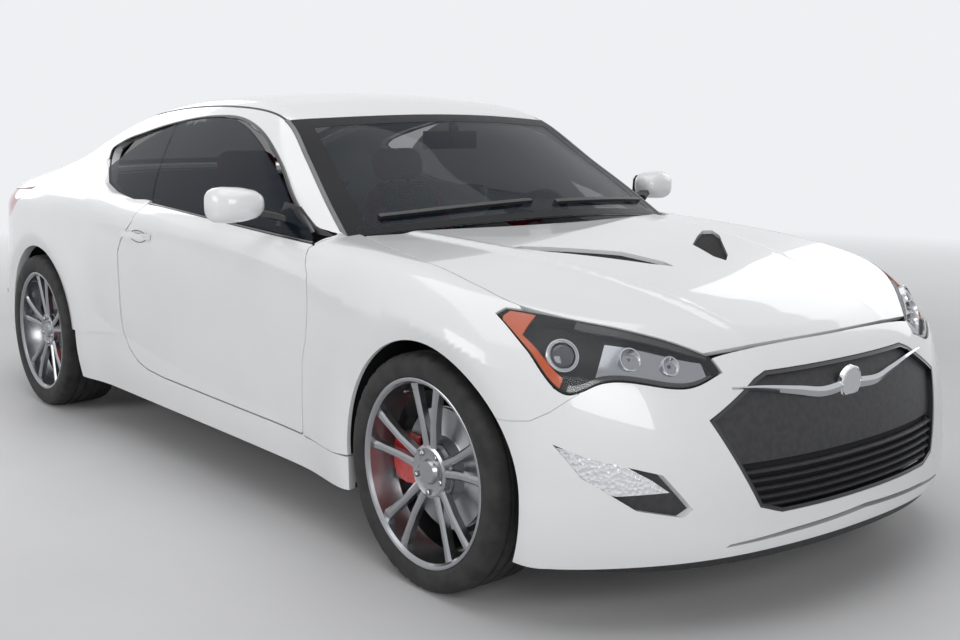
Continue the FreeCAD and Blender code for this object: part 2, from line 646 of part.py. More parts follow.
# Lamps
headlamp = panel([net([LAMP_UPPER, LAMP_BOTTOM], 13, 7, (lamp_edge, lamp_edge, trim + lamp_edge, seam), lower_body)],
                 SIZE["lamp_depth"], lower_body)
fog_lamp = largest(trimmed(lambda extra: bumper_slab(extra, SIZE["fog_lamp_depth"], SIZE["fog_lamp_setback"]),
                           forward_prism(front_region(grown(FOG_OUTLINE, -seam))), 0.001))
tail_lamp = panel([net([TAIL_LAMP_TOP, TAIL_LAMP_BOTTOM], 13, 6, (4 * lamp_edge, 0, lamp_edge, lamp_edge),
                       lower_body)], SIZE["lamp_depth"], lower_body)
lid_edge = at((LID_SIDE[3][0], 0, 0)).x - trim + SIZE["shut_gap"]
tail_lamp = tail_lamp.common(Part.makeBox(400, 5000, 1000, V(lid_edge, 0, 500)))

# Side frames: pillars, roof rail and rear quarter in one
SIDE_REGION = [(-900, 1600), (-900, 884), (-785, 884), (-785, 300), (2600, 300), (2600, 1600)]
opening = region(WINDOW_OUTLINE).fuse(region(grown(DOOR_OUTLINE, shut))).removeSplitter()
side_prism_keep = across(region(SIDE_REGION, [opening, arch_face(ARCHES[1]),
                                              region(grown(REAR_WASTE, seam))]))


def side_rows(extra):
    upper = net([SIDE_TOP, SHOULDER], 33 + extra, 9, (0, trim, seam, 0))
    lower = net([SHOULDER, QUARTER_BOTTOM], 33 + extra, 9, (0, trim, 0, seam))
    return [top + rest[1:] for top, rest in zip(upper, lower)]


def side_slab(extra):
    return panel([side_rows(extra)], SIZE["side_thickness"])


TAIL_ROOM_RUN = 20.0
tail_room = room(net([TAIL_LAMP_TOP, TAIL_LAMP_BOTTOM], 13, 6, (0, -TAIL_ROOM_RUN, -lamp_edge, -lamp_edge),
                     lower_body))
side_frame = largest(trimmed(side_slab, side_prism_keep).cut(tail_room))

# Side skirts, flat on the inside where they sit on the inner sill
inner_sill = SIZE["inner_sill_half_width"]
SKIRT_REACH = 90.0
skirt = panel([net([SKIRT_TOP, SKIRT_BOTTOM], 21, 5, (0, 0, 0, 0), lower_body)], SKIRT_REACH, lower_body,
              (-1, 0, 0))
skirt = skirt.cut(across(region(grown(DOOR_OUTLINE, shut))))
skirt = skirt.common(Part.makeBox(400, 4000, 600, V(inner_sill + SIZE["running_gap"], -2000, 0)))

# Doors
DOOR_FOOT = [(893, -1050, 290), (893, -400, 290), (895, 200, 290), (902, 900, 290)]


def door_slab(extra, thickness=SIZE["door_thickness"], depth=0.0):
    rows = net([BELT_LINE[:6], DOOR_FOOT], 19 + extra, 13 + extra, (0, 0, 0, 0), lower_body)
    return panel([rows], thickness, lower_body, (-1, 0, 0), depth)


door = trimmed(door_slab, across(region(DOOR_OUTLINE)))


def cabin_half_width(station, z):
    low, high = 400.0, 950.0
    for turn in range(40):
        middle = (low + high) / 2
        if cabin(middle, station, z) > 0:
            high = middle
        else:
            low = middle
    return low


def belt_height(station):
    """Height of the door's top edge at a station."""
    points = [snap(point, lower_body) for point in stretch(BELT_LINE[:6], 19)]
    for (x0, s0, z0), (x1, s1, z1) in zip(points, points[1:]):
        if s0 <= station <= s1:
            return z0 + (z1 - z0) * (station - s0) / (s1 - s0)
    return points[-1][2]


# Side glass: the door's pane stands on the door's top edge, the quarter pane fills the frame behind it
SPLIT_LINE = [(388, 900), (392, 975), (515, 1256), (540, 1330)]
glass_stations = [-800 + 100 * i for i in range(20)]


def glass_slab(extra):
    rows = []
    for station in glass_stations:
        foot = belt_height(station) + SIZE["running_gap"] if station < 800 else 990.0
        top = clamp(1290 - 0.00045 * (station - 250) ** 2, foot + 60, 1300)
        heights = [foot + (top - foot) * j / (7 + extra) for j in range(8 + extra)]
        rows.append([(cabin_half_width(station, z), station, z) for z in heights])
    return panel([rows], SIZE["glass_thickness"], cabin, (-1, 0, 0))


frame_gap = SIZE["glass_gap"]
window = grown(WINDOW_OUTLINE, -frame_gap)
front_half = [(-1000, 800)] + [(s - shut / 2, z) for s, z in SPLIT_LINE] + [(-1000, 1330)]
rear_half = [(1400, 800)] + [(407, 800)] + [(s + shut / 2, z) for s, z in SPLIT_LINE] + [(1400, 1330)]
window_upper = [(-790, 800), (570, 800)] + grown(WINDOW_OUTLINE, -shut)[7:]
door_glass = largest(trimmed(glass_slab, across(region(window_upper).common(region(front_half))), 0.001))
quarter_glass = largest(trimmed(glass_slab, across(region(window).common(region(rear_half))), 0.001))
front_lamps = Part.makeCompound([headlamp, mirrored(headlamp), fog_lamp, mirrored(fog_lamp)])
for label, shape in (("hood", hood), ("roof_panel", roof), ("windshield", windshield),
                     ("rear_window", rear_window), ("trunk_lid", lid), ("fenders", both_sides(fender)),
                     ("front_bumper", front_bumper), ("rear_bumper", rear_bumper),
                     ("front_lamps", front_lamps), ("tail_lamps", both_sides(tail_lamp)),
                     ("side_frames", both_sides(side_frame)), ("side_skirts", both_sides(skirt)),
                     ("quarter_glasses", both_sides(quarter_glass)),
                     ("door_left", door), ("door_right", mirrored(door)),
                     ("door_glass_left", door_glass), ("door_glass_right", mirrored(door_glass))):
    add_shape(label, shape)


# Pieces made of sketches, primitives and booleans, bound to the sheet
def y_of(station):
    if station < FRONT_AXLE:
        y = -size("wheelbase") / 2 + size("front_overhang") * ((station - FRONT_AXLE) / NOMINAL_FRONT)
    elif station > REAR_AXLE:
        y = size("wheelbase") / 2 + size("rear_overhang") * ((station - REAR_AXLE) / NOMINAL_REAR)
    else:
        y = size("wheelbase") * (station / NOMINAL_BASE)
    return y + (size("front_overhang") - size("rear_overhang")) / 2


def x_of(x):
    return size("body_width") * (x / NOMINAL_WIDTH)


def z_of(z):
    return size("body_height") * (z / NOMINAL_HEIGHT)


def bind(thing, **properties):
    for name, value in properties.items():
        value = quantity(value)
        path = {"x": "Placement.Base.x", "y": "Placement.Base.y", "z": "Placement.Base.z"}.get(name, name)
        thing.setExpression(path, value.text)


def block(name, x0, x1, y0, y1, z0, z1):
    x0, x1, y0, y1, z0, z1 = [quantity(value) for value in (x0, x1, y0, y1, z0, z1)]
    thing = doc.addObject("Part::Box", name)
    bind(thing, Length=x1 - x0, Width=y1 - y0, Height=z1 - z0, x=x0, y=y0, z=z0)
    return thing


TURNS = {"x": FreeCAD.Rotation(V(0, 1, 0), 90), "y": FreeCAD.Rotation(V(1, 0, 0), -90),
         "z": FreeCAD.Rotation()}


def rod(name, radius, length, x, y, z, axis="z"):
    thing = doc.addObject("Part::Cylinder", name)
    thing.Placement = FreeCAD.Placement(V(0, 0, 0), TURNS[axis])
    bind(thing, Radius=radius, Height=length, x=x, y=y, z=z)
    return thing


def fused(name, things):
    thing = doc.addObject("Part::MultiFuse", name)
    thing.Shapes = things
    return thing


def cut_from(name, base, tool):
    thing = doc.addObject("Part::Cut", name)
    thing.Base = base
    thing.Tool = tool
    return thing


def mirror_of(name, source):
    thing = doc.addObject("Part::Mirroring", name)
    thing.Source = source
    thing.Normal = V(1, 0, 0)
    return thing


def hand_in(label, thing):
    thing.Label = label
    made.append(thing)
    return thing


def plane_of(body, role):
    return [feature for feature in body.Origin.OriginFeatures if feature.Role == role][0]


def polygon_sketch(body, name, role, corners):
    """Sketch of a closed polygon whose corners are held by bound distances from the origin."""
    sketch = body.newObject("Sketcher::SketchObject", name)
    sketch.AttachmentSupport = [(plane_of(body, role), "")]
    sketch.MapMode = "FlatFace"
    corners = [(quantity(x), quantity(y)) for x, y in corners]
    spots = [V(x.value, y.value, 0) for x, y in corners]
    count = len(spots)
    for i in range(count):
        sketch.addGeometry(Part.LineSegment(spots[i], spots[(i + 1) % count]), False)
    for i in range(count):
        sketch.addConstraint(Sketcher.Constraint("Coincident", i, 2, (i + 1) % count, 1))
    for i, (x, y) in enumerate(corners):
        for kind, value in (("DistanceX", x), ("DistanceY", y)):
            index = sketch.addConstraint(Sketcher.Constraint(kind, -1, 1, i, 1, value.value))
            sketch.setExpression("Constraints[%d]" % index, value.text)
    return sketch


def revolved(body, name, corners):
    """Ring round the body's own X axis from a profile of axle positions and radii."""
    sketch = polygon_sketch(body, name + "_profile", "XY_Plane", corners)
    ring = body.newObject("PartDesign::Revolution", name)
    ring.Profile = sketch
    ring.ReferenceAxis = (sketch, ["H_Axis"])
    ring.Angle = 360
    return ring


def padded(body, name, corners, start, depth):
    """Pad along the body's own X axis over a profile in its YZ plane."""
    sketch = polygon_sketch(body, name + "_profile", "YZ_Plane", corners)
    bind_offset = quantity(start)
    sketch.setExpression("AttachmentOffset.Base.z", bind_offset.text)
    pad = body.newObject("PartDesign::Pad", name)
    pad.Profile = sketch
    pad.setExpression("Length", quantity(depth).text)
    return pad


def bolt_hole(body, name, start):
    """Blind hole on the bolt circle, cut inwards from a plane across the body's own X axis."""
    sketch = body.newObject("Sketcher::SketchObject", name + "_profile")
    sketch.AttachmentSupport = [(plane_of(body, "YZ_Plane"), "")]
    sketch.MapMode = "FlatFace"
    sketch.setExpression("AttachmentOffset.Base.z", start.text)
    middle, radius = size("bolt_circle") / 2, size("bolt_hole_radius")
    sketch.addGeometry(Part.Circle(V(0, middle.value, 0), V(0, 0, 1), radius.value), False)
    sketch.addConstraint(Sketcher.Constraint("PointOnObject", 0, 3, -2))
    for constraint, length in ((Sketcher.Constraint("DistanceY", -1, 1, 0, 3, middle.value), middle),
                               (Sketcher.Constraint("Radius", 0, radius.value), radius)):
        index = sketch.addConstraint(constraint)
        sketch.setExpression("Constraints[%d]" % index, length.text)
    pocket = body.newObject("PartDesign::Pocket", name)
    pocket.Profile = sketch
    pocket.setExpression("Length", size("bolt_pocket_depth").text)
    return pocket


def patterned(body, name, originals, count):
    pattern = body.newObject("PartDesign::PolarPattern", name)
    pattern.Originals = originals
    pattern.Axis = (plane_of(body, "X_Axis"), [""])
    pattern.Angle = 360
    pattern.Occurrences = count
    body.Tip = pattern
    return pattern


CORNERS = [("front_left", 1, FRONT_AXLE, "front"), ("front_right", -1, FRONT_AXLE, "front"),
           ("rear_left", 1, REAR_AXLE, "rear"), ("rear_right", -1, REAR_AXLE, "rear")]
SPOKE_PAIRS = 5
BOLT_COUNT = 5


def place_at_hub(body, side, station, end):
    body.Placement = FreeCAD.Placement(V(0, 0, 0), FreeCAD.Rotation(V(0, 0, 1), 0 if side > 0 else 180))
    bind(body, x=size(end + "_track") * (side / 2), y=y_of(station), z=size(end + "_tyre_radius"))


def tyre(corner, side, station, end):
    body = doc.addObject("PartDesign::Body", "tyre_" + corner)
    half = size(end + "_tyre_width") / 2
    outer = size(end + "_tyre_radius")
    bead = size("rim_radius") + size("bead_seat")
    revolved(body, "tyre_ring_" + corner, [
        (-half + 16.5, bead), (-half, bead + 26), (-half, outer - 28), (-half + size("tread_shoulder"), outer - 5),
        (-half + 34, outer), (half - 34, outer), (half - size("tread_shoulder"), outer - 5), (half, outer - 28),
        (half, bead + 26), (half - 16.5, bead)])
    place_at_hub(body, side, station, end)
    return hand_in("tyre_" + corner, body)


def rim(corner, side, station, end):
    body = doc.addObject("PartDesign::Body", "rim_" + corner)
    half = size(end + "_tyre_width") / 2 - size("rim_setback")
    edge = size("rim_radius")
    wall = size("rim_wall")
    revolved(body, "barrel_" + corner, [
        (-half - 3, edge - wall), (-half - 3, edge + size("rim_lip")), (-half + 6, edge), (-half + 40, edge),
        (-half + 60, edge - size("rim_well")), (half - 80, edge - size("rim_well")), (half - 54, edge),
        (half - 6, edge), (half + 3, edge + size("rim_lip")), (half + 3, edge - wall), (half - 53, edge - wall),
        (half - 82, edge - size("rim_well") - wall), (-half + 62, edge - size("rim_well") - wall),
        (-half + 42, edge - wall)])
    face = half - size("spoke_setback")
    back = face - size("spoke_depth")
    root, tip, spread = size("spoke_root"), size("spoke_tip"), size("spoke_spread")
    spokes = []
    for number, lean in enumerate((1, -1)):
        inner_mid, outer_mid = spread * (lean * 0.45), spread * lean * 1.15
        spokes.append(padded(body, "spoke_%d_%s" % (number, corner), [
            (inner_mid - root / 2, size("hub_radius") * 0.6), (inner_mid + root / 2, size("hub_radius") * 0.6),
            (outer_mid + tip / 2, edge - 8), (outer_mid - tip / 2, edge - 8)], back, size("spoke_depth")))
    patterned(body, "spokes_" + corner, spokes, SPOKE_PAIRS)
    disc_out = half - size("disc_setback")
    disc_in = disc_out - size("disc_thickness")
    bell = size("disc_bell_radius")
    hub = revolved(body, "hub_" + corner, [
        (disc_in, size("spindle_radius")), (disc_in, size("disc_radius_" + end)),
        (disc_out, size("disc_radius_" + end)), (disc_out, bell), (back, bell),
        (back, size("hub_radius")), (face - 6, size("hub_radius") - 6), (face - 6, size("centre_cap_radius")),
        (face + 1, size("centre_cap_radius") - 4), (face + 1, 1), (back - 4, 1),
        (back - 4, size("spindle_radius"))])
    body.Tip = hub
    hole = bolt_hole(body, "bolt_hole_" + corner, face + 1)
    patterned(body, "bolt_holes_" + corner, [hole], BOLT_COUNT)
    place_at_hub(body, side, station, end)
    return hand_in("rim_" + corner, body)


for corner, side, station, end in CORNERS:
    tyre(corner, side, station, end)
    rim(corner, side, station, end)
gap = size("running_gap")


def brake(name, side, station, end, turn):
    """Spindle and caliper beside one wheel, on the car's left; turn is the side the caliper is on."""
    centre = size(end + "_track") / 2
    half = size(end + "_tyre_width") / 2 - size("rim_setback")
    back = centre + half - size("spoke_setback") - size("spoke_depth")
    disc_out = centre + half - size("disc_setback")
    disc_in = disc_out - size("disc_thickness")
    axle_y, axle_z = y_of(station), size(end + "_tyre_radius")
    king = size("kingpin_side")
    spindle = rod(name + "_spindle", size("spindle_radius") - size("spindle_clearance"),
                  back - 4 - gap - king, king, axle_y, axle_z, "x")
    clear, wall = size("caliper_gap"), size("caliper_wall")
    reach = size("disc_radius_" + end)
    near, far = reach - 62, reach + clear + wall
    y0, y1 = (axle_y + near, axle_y + far) if turn > 0 else (axle_y - far, axle_y - near)
    tall = size("caliper_height")
    jaw = block(name + "_jaw", disc_in - clear - wall, disc_out + clear + wall, y0, y1,
                axle_z - tall, axle_z + tall)
    slot = rod(name + "_slot", reach + clear, size("disc_thickness") + clear * 2, disc_in - clear, axle_y,
               axle_z, "x")
    caliper = cut_from(name + "_caliper", jaw, slot)
    middle = (axle_y, y1) if turn > 0 else (y0, axle_y)
    bracket = block(name + "_bracket", king - 10, disc_in - clear - 2, middle[0], middle[1],
                    axle_z - 22, axle_z + 22)
    return [spindle, caliper, bracket]


# Steering knuckles
axle_y, axle_z = y_of(FRONT_AXLE), size("front_tyre_radius")
king, reach = size("kingpin_side"), size("kingpin_reach")
upright = rod("upright", size("kingpin_radius"), reach * 2, king, axle_y, axle_z - reach)
knuckle = fused("knuckle_parts", [upright] + brake("front", 1, FRONT_AXLE, "front", 1))
hand_in("knuckle_left", knuckle)
hand_in("knuckle_right", mirror_of("knuckle_mirror", knuckle))

# Front axle: subframe, posts and two arms a side
def both_blocks(name, inner, outer, y0, y1, z0, z1):
    """A block on each side of the car, between two distances from its centre plane."""
    inner, outer = quantity(inner), quantity(outer)
    return [block(name, inner, outer, y0, y1, z0, z1), block(name, -outer, -inner, y0, y1, z0, z1)]


POST_WIDTH, POST_RISE = 50, 60
MOUNT_SIDE, MOUNT_WIDTH = 200, 60
arm = size("arm_radius")
subframe = size("subframe_half_width")
low_z = axle_z - reach - gap - arm * 2
high_z = axle_z + reach + gap
post_top = high_z + POST_RISE
axle_things = [block("front_subframe", -subframe, subframe, axle_y - 110, axle_y + 90, low_z, low_z + arm * 2)]
for level in (low_z, high_z):
    axle_things += both_blocks("front_arm", subframe - POST_WIDTH, king + arm, axle_y - arm, axle_y + arm, level,
                               level + arm * 2)
axle_things += both_blocks("front_post", subframe - POST_WIDTH, subframe, axle_y - POST_RISE, axle_y + POST_RISE,
                           low_z, post_top)
axle_things += both_blocks("engine_mount", MOUNT_SIDE, MOUNT_SIDE + MOUNT_WIDTH, axle_y - 40, axle_y + 40, low_z,
                           size("engine_base") - gap)
hand_in("front_axle", fused("front_axle_parts", axle_things))

# Rear axle: subframe, final drive, shafts, arms and brakes
rear_y, rear_z = y_of(REAR_AXLE), size("rear_tyre_radius")
rear_low = rear_z - reach
trunk_low = size("trunk_floor_height")
FRAME_LIFT, FRAME_DEPTH, DRIVE_HALF = 12, 38, 120
frame_low = rear_low + FRAME_LIFT
axle_things = [block("rear_subframe", -subframe, subframe, rear_y - 140, rear_y + 120, frame_low,
                     frame_low + FRAME_DEPTH),
               block("final_drive", -DRIVE_HALF, DRIVE_HALF, rear_y - 130, rear_y + 110, rear_low, rear_z + 90),
               rod("half_shafts", size("shaft_radius"), king * 2, -king, rear_y, rear_z, "x")]
rear_brake = fused("rear_brake", brake("rear", 1, REAR_AXLE, "rear", -1))
rear_upright = rod("rear_upright", size("kingpin_radius"), reach * 2, king, rear_y, rear_low)
rear_arm = block("rear_arm", subframe - POST_WIDTH, king, rear_y - arm, rear_y + arm, frame_low, frame_low + arm * 2)
rear_post = block("rear_post", subframe - POST_WIDTH, subframe, rear_y - 40, rear_y + 40, frame_low, trunk_low - gap)
rear_side = fused("rear_side", [rear_brake, rear_upright, rear_arm, rear_post])
hand_in("rear_axle", fused("rear_axle_parts", axle_things + [rear_side, mirror_of("rear_other", rear_side)]))

# Engine, as one block
ENGINE_FRONT = -1730
engine_y, engine_z = y_of(ENGINE_FRONT), size("engine_base")
engine_half = size("engine_width") / 2
hand_in("engine_block", block("engine", -engine_half, engine_half, engine_y, engine_y + size("engine_length"),
                              engine_z, engine_z + size("engine_height")))

# Cowl, between the hood's rear edge and the windshield
cowl_net = net([[(-690, -880, 900), (-350, -975, 920), (0, -1010, 925), (350, -975, 920), (690, -880, 900)],
                [(-735, -800, 900), (-350, -895, 930), (0, -930, 930), (350, -895, 930), (735, -800, 900)]],
               15, 3, (0, 0, 0, 0), lower_body)

# Floor: plate, tunnel, inner sills, door posts, firewall and trunk floor
sill_out, sill_in = size("inner_sill_half_width"), size("inner_sill_half_width") - size("inner_sill_width")
floor_low, floor_top = size("floor_height"), size("floor_height") + size("floor_thickness")
sill_top = floor_top + size("inner_sill_height")
trunk_top = trunk_low + size("floor_thickness")
FLOOR_START, FLOOR_END, TRUNK_END = -960, 900, 2290
FIREWALL_TOP = 872
floor_start, floor_end = y_of(FLOOR_START), y_of(FLOOR_END)
trunk_half, wall_thick = size("trunk_half_width"), size("firewall_thickness")
tunnel = size("tunnel_half_width")
floor_things = [
    block("floor_plate", -sill_out, sill_out, floor_start, floor_end, floor_low, floor_top),
    block("tunnel", -tunnel, tunnel, floor_start, floor_end, floor_low, floor_low + size("tunnel_height")),
    block("firewall", -sill_out, sill_out, floor_start, floor_start + wall_thick, floor_low, z_of(FIREWALL_TOP)),
    block("heel_wall", -trunk_half, trunk_half, floor_end - wall_thick, floor_end, floor_low, trunk_top),
    block("trunk_floor", -trunk_half, trunk_half, floor_end - wall_thick, y_of(TRUNK_END), trunk_low, trunk_top),
]
POST_END, RAIL_START = -868, -1935


floor_things += both_blocks("inner_sill", sill_in, sill_out, floor_start, floor_end, floor_low, sill_top)
floor_things += both_blocks("door_post", sill_in, sill_out, floor_start, y_of(POST_END), floor_low,
                            z_of(FIREWALL_TOP))
rail_in = size("subframe_half_width") - POST_WIDTH
floor_things += both_blocks("front_rail", rail_in, rail_in + size("rail_width"), y_of(RAIL_START),
                            floor_start + wall_thick / 2, post_top + gap, post_top + size("rail_width"))
# Bumper carrier, door hinges, hood hinges and lid props
BEAM_FRONT, BEAM_REAR, BEAM_HALF = -1990, -1929, 560
beam_low = size("bumper_beam_low")
beam_high = beam_low + size("bumper_beam_height")
floor_things.append(block("bumper_beam", -x_of(BEAM_HALF), x_of(BEAM_HALF), y_of(BEAM_FRONT), y_of(BEAM_REAR),
                          beam_low, beam_high))
HINGE_REAR, HINGE_HEIGHT, HINGE_LAP, HINGE_REACH = -900, 44, 12, 30
HINGES = [(430, -793.2), (700, -838.3)]
for low, station in HINGES:
    floor_things += both_blocks("door_hinge", sill_out - HINGE_LAP, sill_out + HINGE_REACH, y_of(HINGE_REAR),
                                y_of(station), low, low + HINGE_HEIGHT)
PAD_OUTER, PAD_DEPTH = 780, 70.0
pad_low, pad_high = nominal_z(beam_low.value + 3), nominal_z(beam_low.value + 48)
pad_inner = BEAM_HALF - 15
pad_face = front_region([(pad_inner, pad_low), (PAD_OUTER, pad_low), (PAD_OUTER, pad_high), (pad_inner, pad_high)])
pad = largest(trimmed(lambda extra: bumper_slab(extra, PAD_DEPTH, SIZE["bumper_thickness"] + SIZE["running_gap"]),
                      forward_prism(pad_face), 0.001))
COVER = 60.0


def seated(thing, grid, shape, deep):
    """Inner part of a block that ends a running gap short of a panel whose inner face lies that deep."""
    cover = panel([grid], COVER + deep + SIZE["running_gap"], shape, None, -COVER)
    return largest(thing.cut(cover))


side_net = side_rows(0)
hood_hinge = seated(box(540, 600, -1010, -950, 850, 940), hood_net, lower_body, SIZE["hood_thickness"])
prop_foot = nominal_z(SIZE["trunk_floor_height"] + SIZE["floor_thickness"] / 2)
lid_prop = seated(box(470, 500, 1830, 1870, prop_foot, 1060), lid_net, lower_body, SIZE["lid_thickness"])
pillar_low = nominal_z(SIZE["floor_height"] + SIZE["floor_thickness"] + SIZE["inner_sill_height"] / 2)
pillar_foot = box(730, 836, 600, 700, pillar_low, 600)
pillar = seated(pillar_foot.fuse(box(730, 900, 600, 700, 480, 780)), side_net, whole_body, SIZE["side_thickness"])
cowl_shelf = seated(box(-1, 320, -960, -948, 800, 940), cowl_net, lower_body, SIZE["cowl_depth"] + SIZE["cowl_thickness"])
for name, shape in (("bumper_pad", pad), ("hood_hinge", hood_hinge), ("lid_prop", lid_prop),
                    ("pillar", pillar), ("cowl_shelf", cowl_shelf)):
    for mark, solid in (("left", shape), ("right", mirrored(shape))):
        feature = doc.addObject("Part::Feature", name + "_" + mark)
        feature.Shape = solid
        floor_things.append(feature)
hand_in("floor_pan", fused("floor_parts", floor_things))

# Exhaust
PIPE_SIDE, PIPE_START, PIPE_END, PIPE_CLEARANCE = 180, -900, 2090, 8
MUFFLER_STATION, TAIL_END, TIP_LIFT = 2150, 2385, 12
HANGER_SIDE, HANGER_WIDTH, HANGER_HALF = 300, 20, 15
pipe, tip = size("exhaust_radius"), size("exhaust_tip_radius")
pipe_z = floor_low - pipe - PIPE_CLEARANCE
muffler_y, muffler_z = y_of(MUFFLER_STATION), size("muffler_height")
muffler_half, muffler_round = size("muffler_length"), size("muffler_radius")
exhaust_things = [rod("front_pipe", pipe, y_of(PIPE_END) - y_of(PIPE_START), PIPE_SIDE, y_of(PIPE_START), pipe_z, "y"),
                  rod("pipe_rise", pipe, muffler_z - pipe_z, PIPE_SIDE, y_of(PIPE_END), pipe_z, "z"),
                  rod("muffler", muffler_round, muffler_half * 2, -muffler_half, muffler_y, muffler_z, "x")]
for side in (1, -1):
    exhaust_things.append(rod("tail_pipe", tip, y_of(TAIL_END) - muffler_y, (muffler_half - tip * 1.6) * side,
                              muffler_y, muffler_z - muffler_round + tip + TIP_LIFT, "y"))
exhaust_things += both_blocks("hanger", HANGER_SIDE, HANGER_SIDE + HANGER_WIDTH, muffler_y - HANGER_HALF,
                              muffler_y + HANGER_HALF, muffler_z, trunk_low - gap)
hand_in("exhaust", fused("exhaust_parts", exhaust_things))

# Dashboard with console
DASH_PROFILE = [(-866, 620), (-866, 850), (-800, 866), (-640, 880), (-560, 860), (-530, 800), (-560, 700),
                (-640, 610), (-760, 570)]
STEER_STATION, STEER_HEIGHT = -430, 830
COLUMN_RADIUS, COLUMN_START, COLUMN_LENGTH = 20, 200, 160
HOLE_START, HOLE_LENGTH = 450, 400
lean = math.radians(SIZE["steering_column_tilt"])
column = V(0, math.cos(lean), math.sin(lean))
steer_centre = V(SIZE["steering_side"], along(STEER_STATION), at((0, 0, STEER_HEIGHT)).z)
running = SIZE["running_gap"]
column_hole = Part.makeCylinder(COLUMN_RADIUS + running, HOLE_LENGTH, steer_centre - column * HOLE_START, column)
dash_half = SIZE["inner_sill_half_width"] - SIZE["inner_sill_width"] - SIZE["running_gap"]
dash_room = Part.makeBox(2 * dash_half, 4000, 2000, V(-dash_half, -2000, 0))
dash = side_prism(DASH_PROFILE, -800, 800).common(dash_room).cut(column_hole)
CONSOLE_HALF, CONSOLE_FRONT, CONSOLE_REAR, CONSOLE_TOP = 105, -720, 250, 610.3
console_low = SIZE["floor_height"] + SIZE["tunnel_height"] + running
console = Part.makeBox(2 * CONSOLE_HALF, along(CONSOLE_REAR) - along(CONSOLE_FRONT),
                       at((0, 0, CONSOLE_TOP)).z - console_low, V(-CONSOLE_HALF, along(CONSOLE_FRONT), console_low))
add_shape("dashboard", dash.fuse(console))

# Seats, as plain closed solids
SEAT_PROFILE = [(-230, 250), (-250, 420), (-200, 462), (60, 440), (205, 450), (330, 760), (390, 960),
                (420, 1120), (470, 1170), (520, 1150), (530, 1090), (480, 930), (400, 640), (330, 330),
                (300, 250)]
seat_side, seat_half = SIZE["seat_side"], SIZE["seat_width"] / 2
seat = side_prism(SEAT_PROFILE, seat_side - seat_half, seat_side + seat_half)
FOOT_HALF, FOOT_LENGTH, FOOT_FRONT, FOOT_TOP = 180, 420, -180, 260
floor_rest = SIZE["floor_height"] + SIZE["floor_thickness"] + running
trunk_rest = SIZE["trunk_floor_height"] + SIZE["floor_thickness"] + running
foot = Part.makeBox(2 * FOOT_HALF, FOOT_LENGTH, at((0, 0, FOOT_TOP)).z - floor_rest,
                    V(seat_side - FOOT_HALF, along(FOOT_FRONT), floor_rest))
front_seat = seat.fuse(foot)
add_shape("front_seats", both_sides(front_seat))
# The bench stands on the cabin floor and the trunk floor, so its heights are real ones
REAR_SEAT_PROFILE = [(600, floor_rest), (590, 430), (650, 460), (940, 480), (1010, 620), (1120, 880), (1180, 905),
                     (1240, 880), (1180, 600), (1140, trunk_rest), (880, trunk_rest), (880, floor_rest)]
BENCH_HALF = 510
tunnel_half = SIZE["tunnel_half_width"] + running
tunnel_room = Part.makeBox(2 * tunnel_half, 800, SIZE["tunnel_height"] + running,
                           V(-tunnel_half, along(500), SIZE["floor_height"]))
bench = side_prism([(s, nominal_z(z)) for s, z in REAR_SEAT_PROFILE], -BENCH_HALF, BENCH_HALF)
add_shape("rear_seat", bench.cut(tunnel_room))

# Steering wheel
HUB_RADIUS, HUB_DEPTH, HUB_BACK = 62, 40, 45
SPOKE_WIDTH, SPOKE_THICKNESS, SPOKE_BACK = 34, 10, 22
wheel_radius = SIZE["steering_wheel_radius"]
ring = Part.makeTorus(wheel_radius, SIZE["steering_rim_radius"], steer_centre, column)
hub = Part.makeCylinder(HUB_RADIUS, HUB_DEPTH, steer_centre - column * HUB_BACK, column)
cross = Part.makeBox(2 * wheel_radius, SPOKE_THICKNESS, SPOKE_WIDTH, V(-wheel_radius, -SPOKE_BACK, -SPOKE_WIDTH / 2))
lower_spoke = Part.makeBox(SPOKE_WIDTH, SPOKE_THICKNESS, wheel_radius, V(-SPOKE_WIDTH / 2, -SPOKE_BACK, -wheel_radius))
arms = cross.fuse(lower_spoke)
arms.rotate(V(0, 0, 0), V(1, 0, 0), SIZE["steering_column_tilt"])
arms.translate(steer_centre)
shaft = Part.makeCylinder(COLUMN_RADIUS, COLUMN_LENGTH, steer_centre - column * COLUMN_START, column)
add_shape("steering_wheel", ring.fuse([hub, arms, shaft]))

# Interior mirror
GLASS_COVER = 90.0
glass_cutter = panel([net(screen_lines, 9, 13, (0, 0, 0, 0), cabin)], GLASS_COVER, cabin, None,
                     SIZE["glass_thickness"] + running - GLASS_COVER)
mirror_stem = box(-12, 12, -430, -400, 1195, 1330).cut(glass_cutter)
add_shape("interior_mirror", box(-120, 120, -402, -387, 1170, 1235).fuse(largest(mirror_stem)))

# Grille: back plate and slats behind the bumper's opening
GRILLE_TOP_LINE = [(-545, -2000, 664), (0, -2105, 664), (545, -2000, 664)]
GRILLE_LOW_LINE = [(-545, -2040, 290), (0, -2198, 290), (545, -2040, 290)]
grille_net = net([GRILLE_TOP_LINE, GRILLE_LOW_LINE], 21, 9, (0, 0, 0, 0), lower_body)
grille_outline = front_region(grown(GRILLE_OUTLINE, -SIZE["running_gap"]))
SLATS, SLAT_LOW, SLAT_HALF = 7, 335, 560
WING_HALF, WING_LOW, WING_HEIGHT = 470, 562, 16
BADGE_STATION, BADGE_HEIGHT, BADGE_DEPTH, BADGE_LEAN = -2150, 582, 60, 0.2
PLATE_THICKNESS, PLATE_DEPTH, BAR_DEPTH = 8.0, 26.0, 3.0


def bar(half, low, height):
    return front_region([(-half, low), (half, low), (half, low + height), (-half, low + height)])


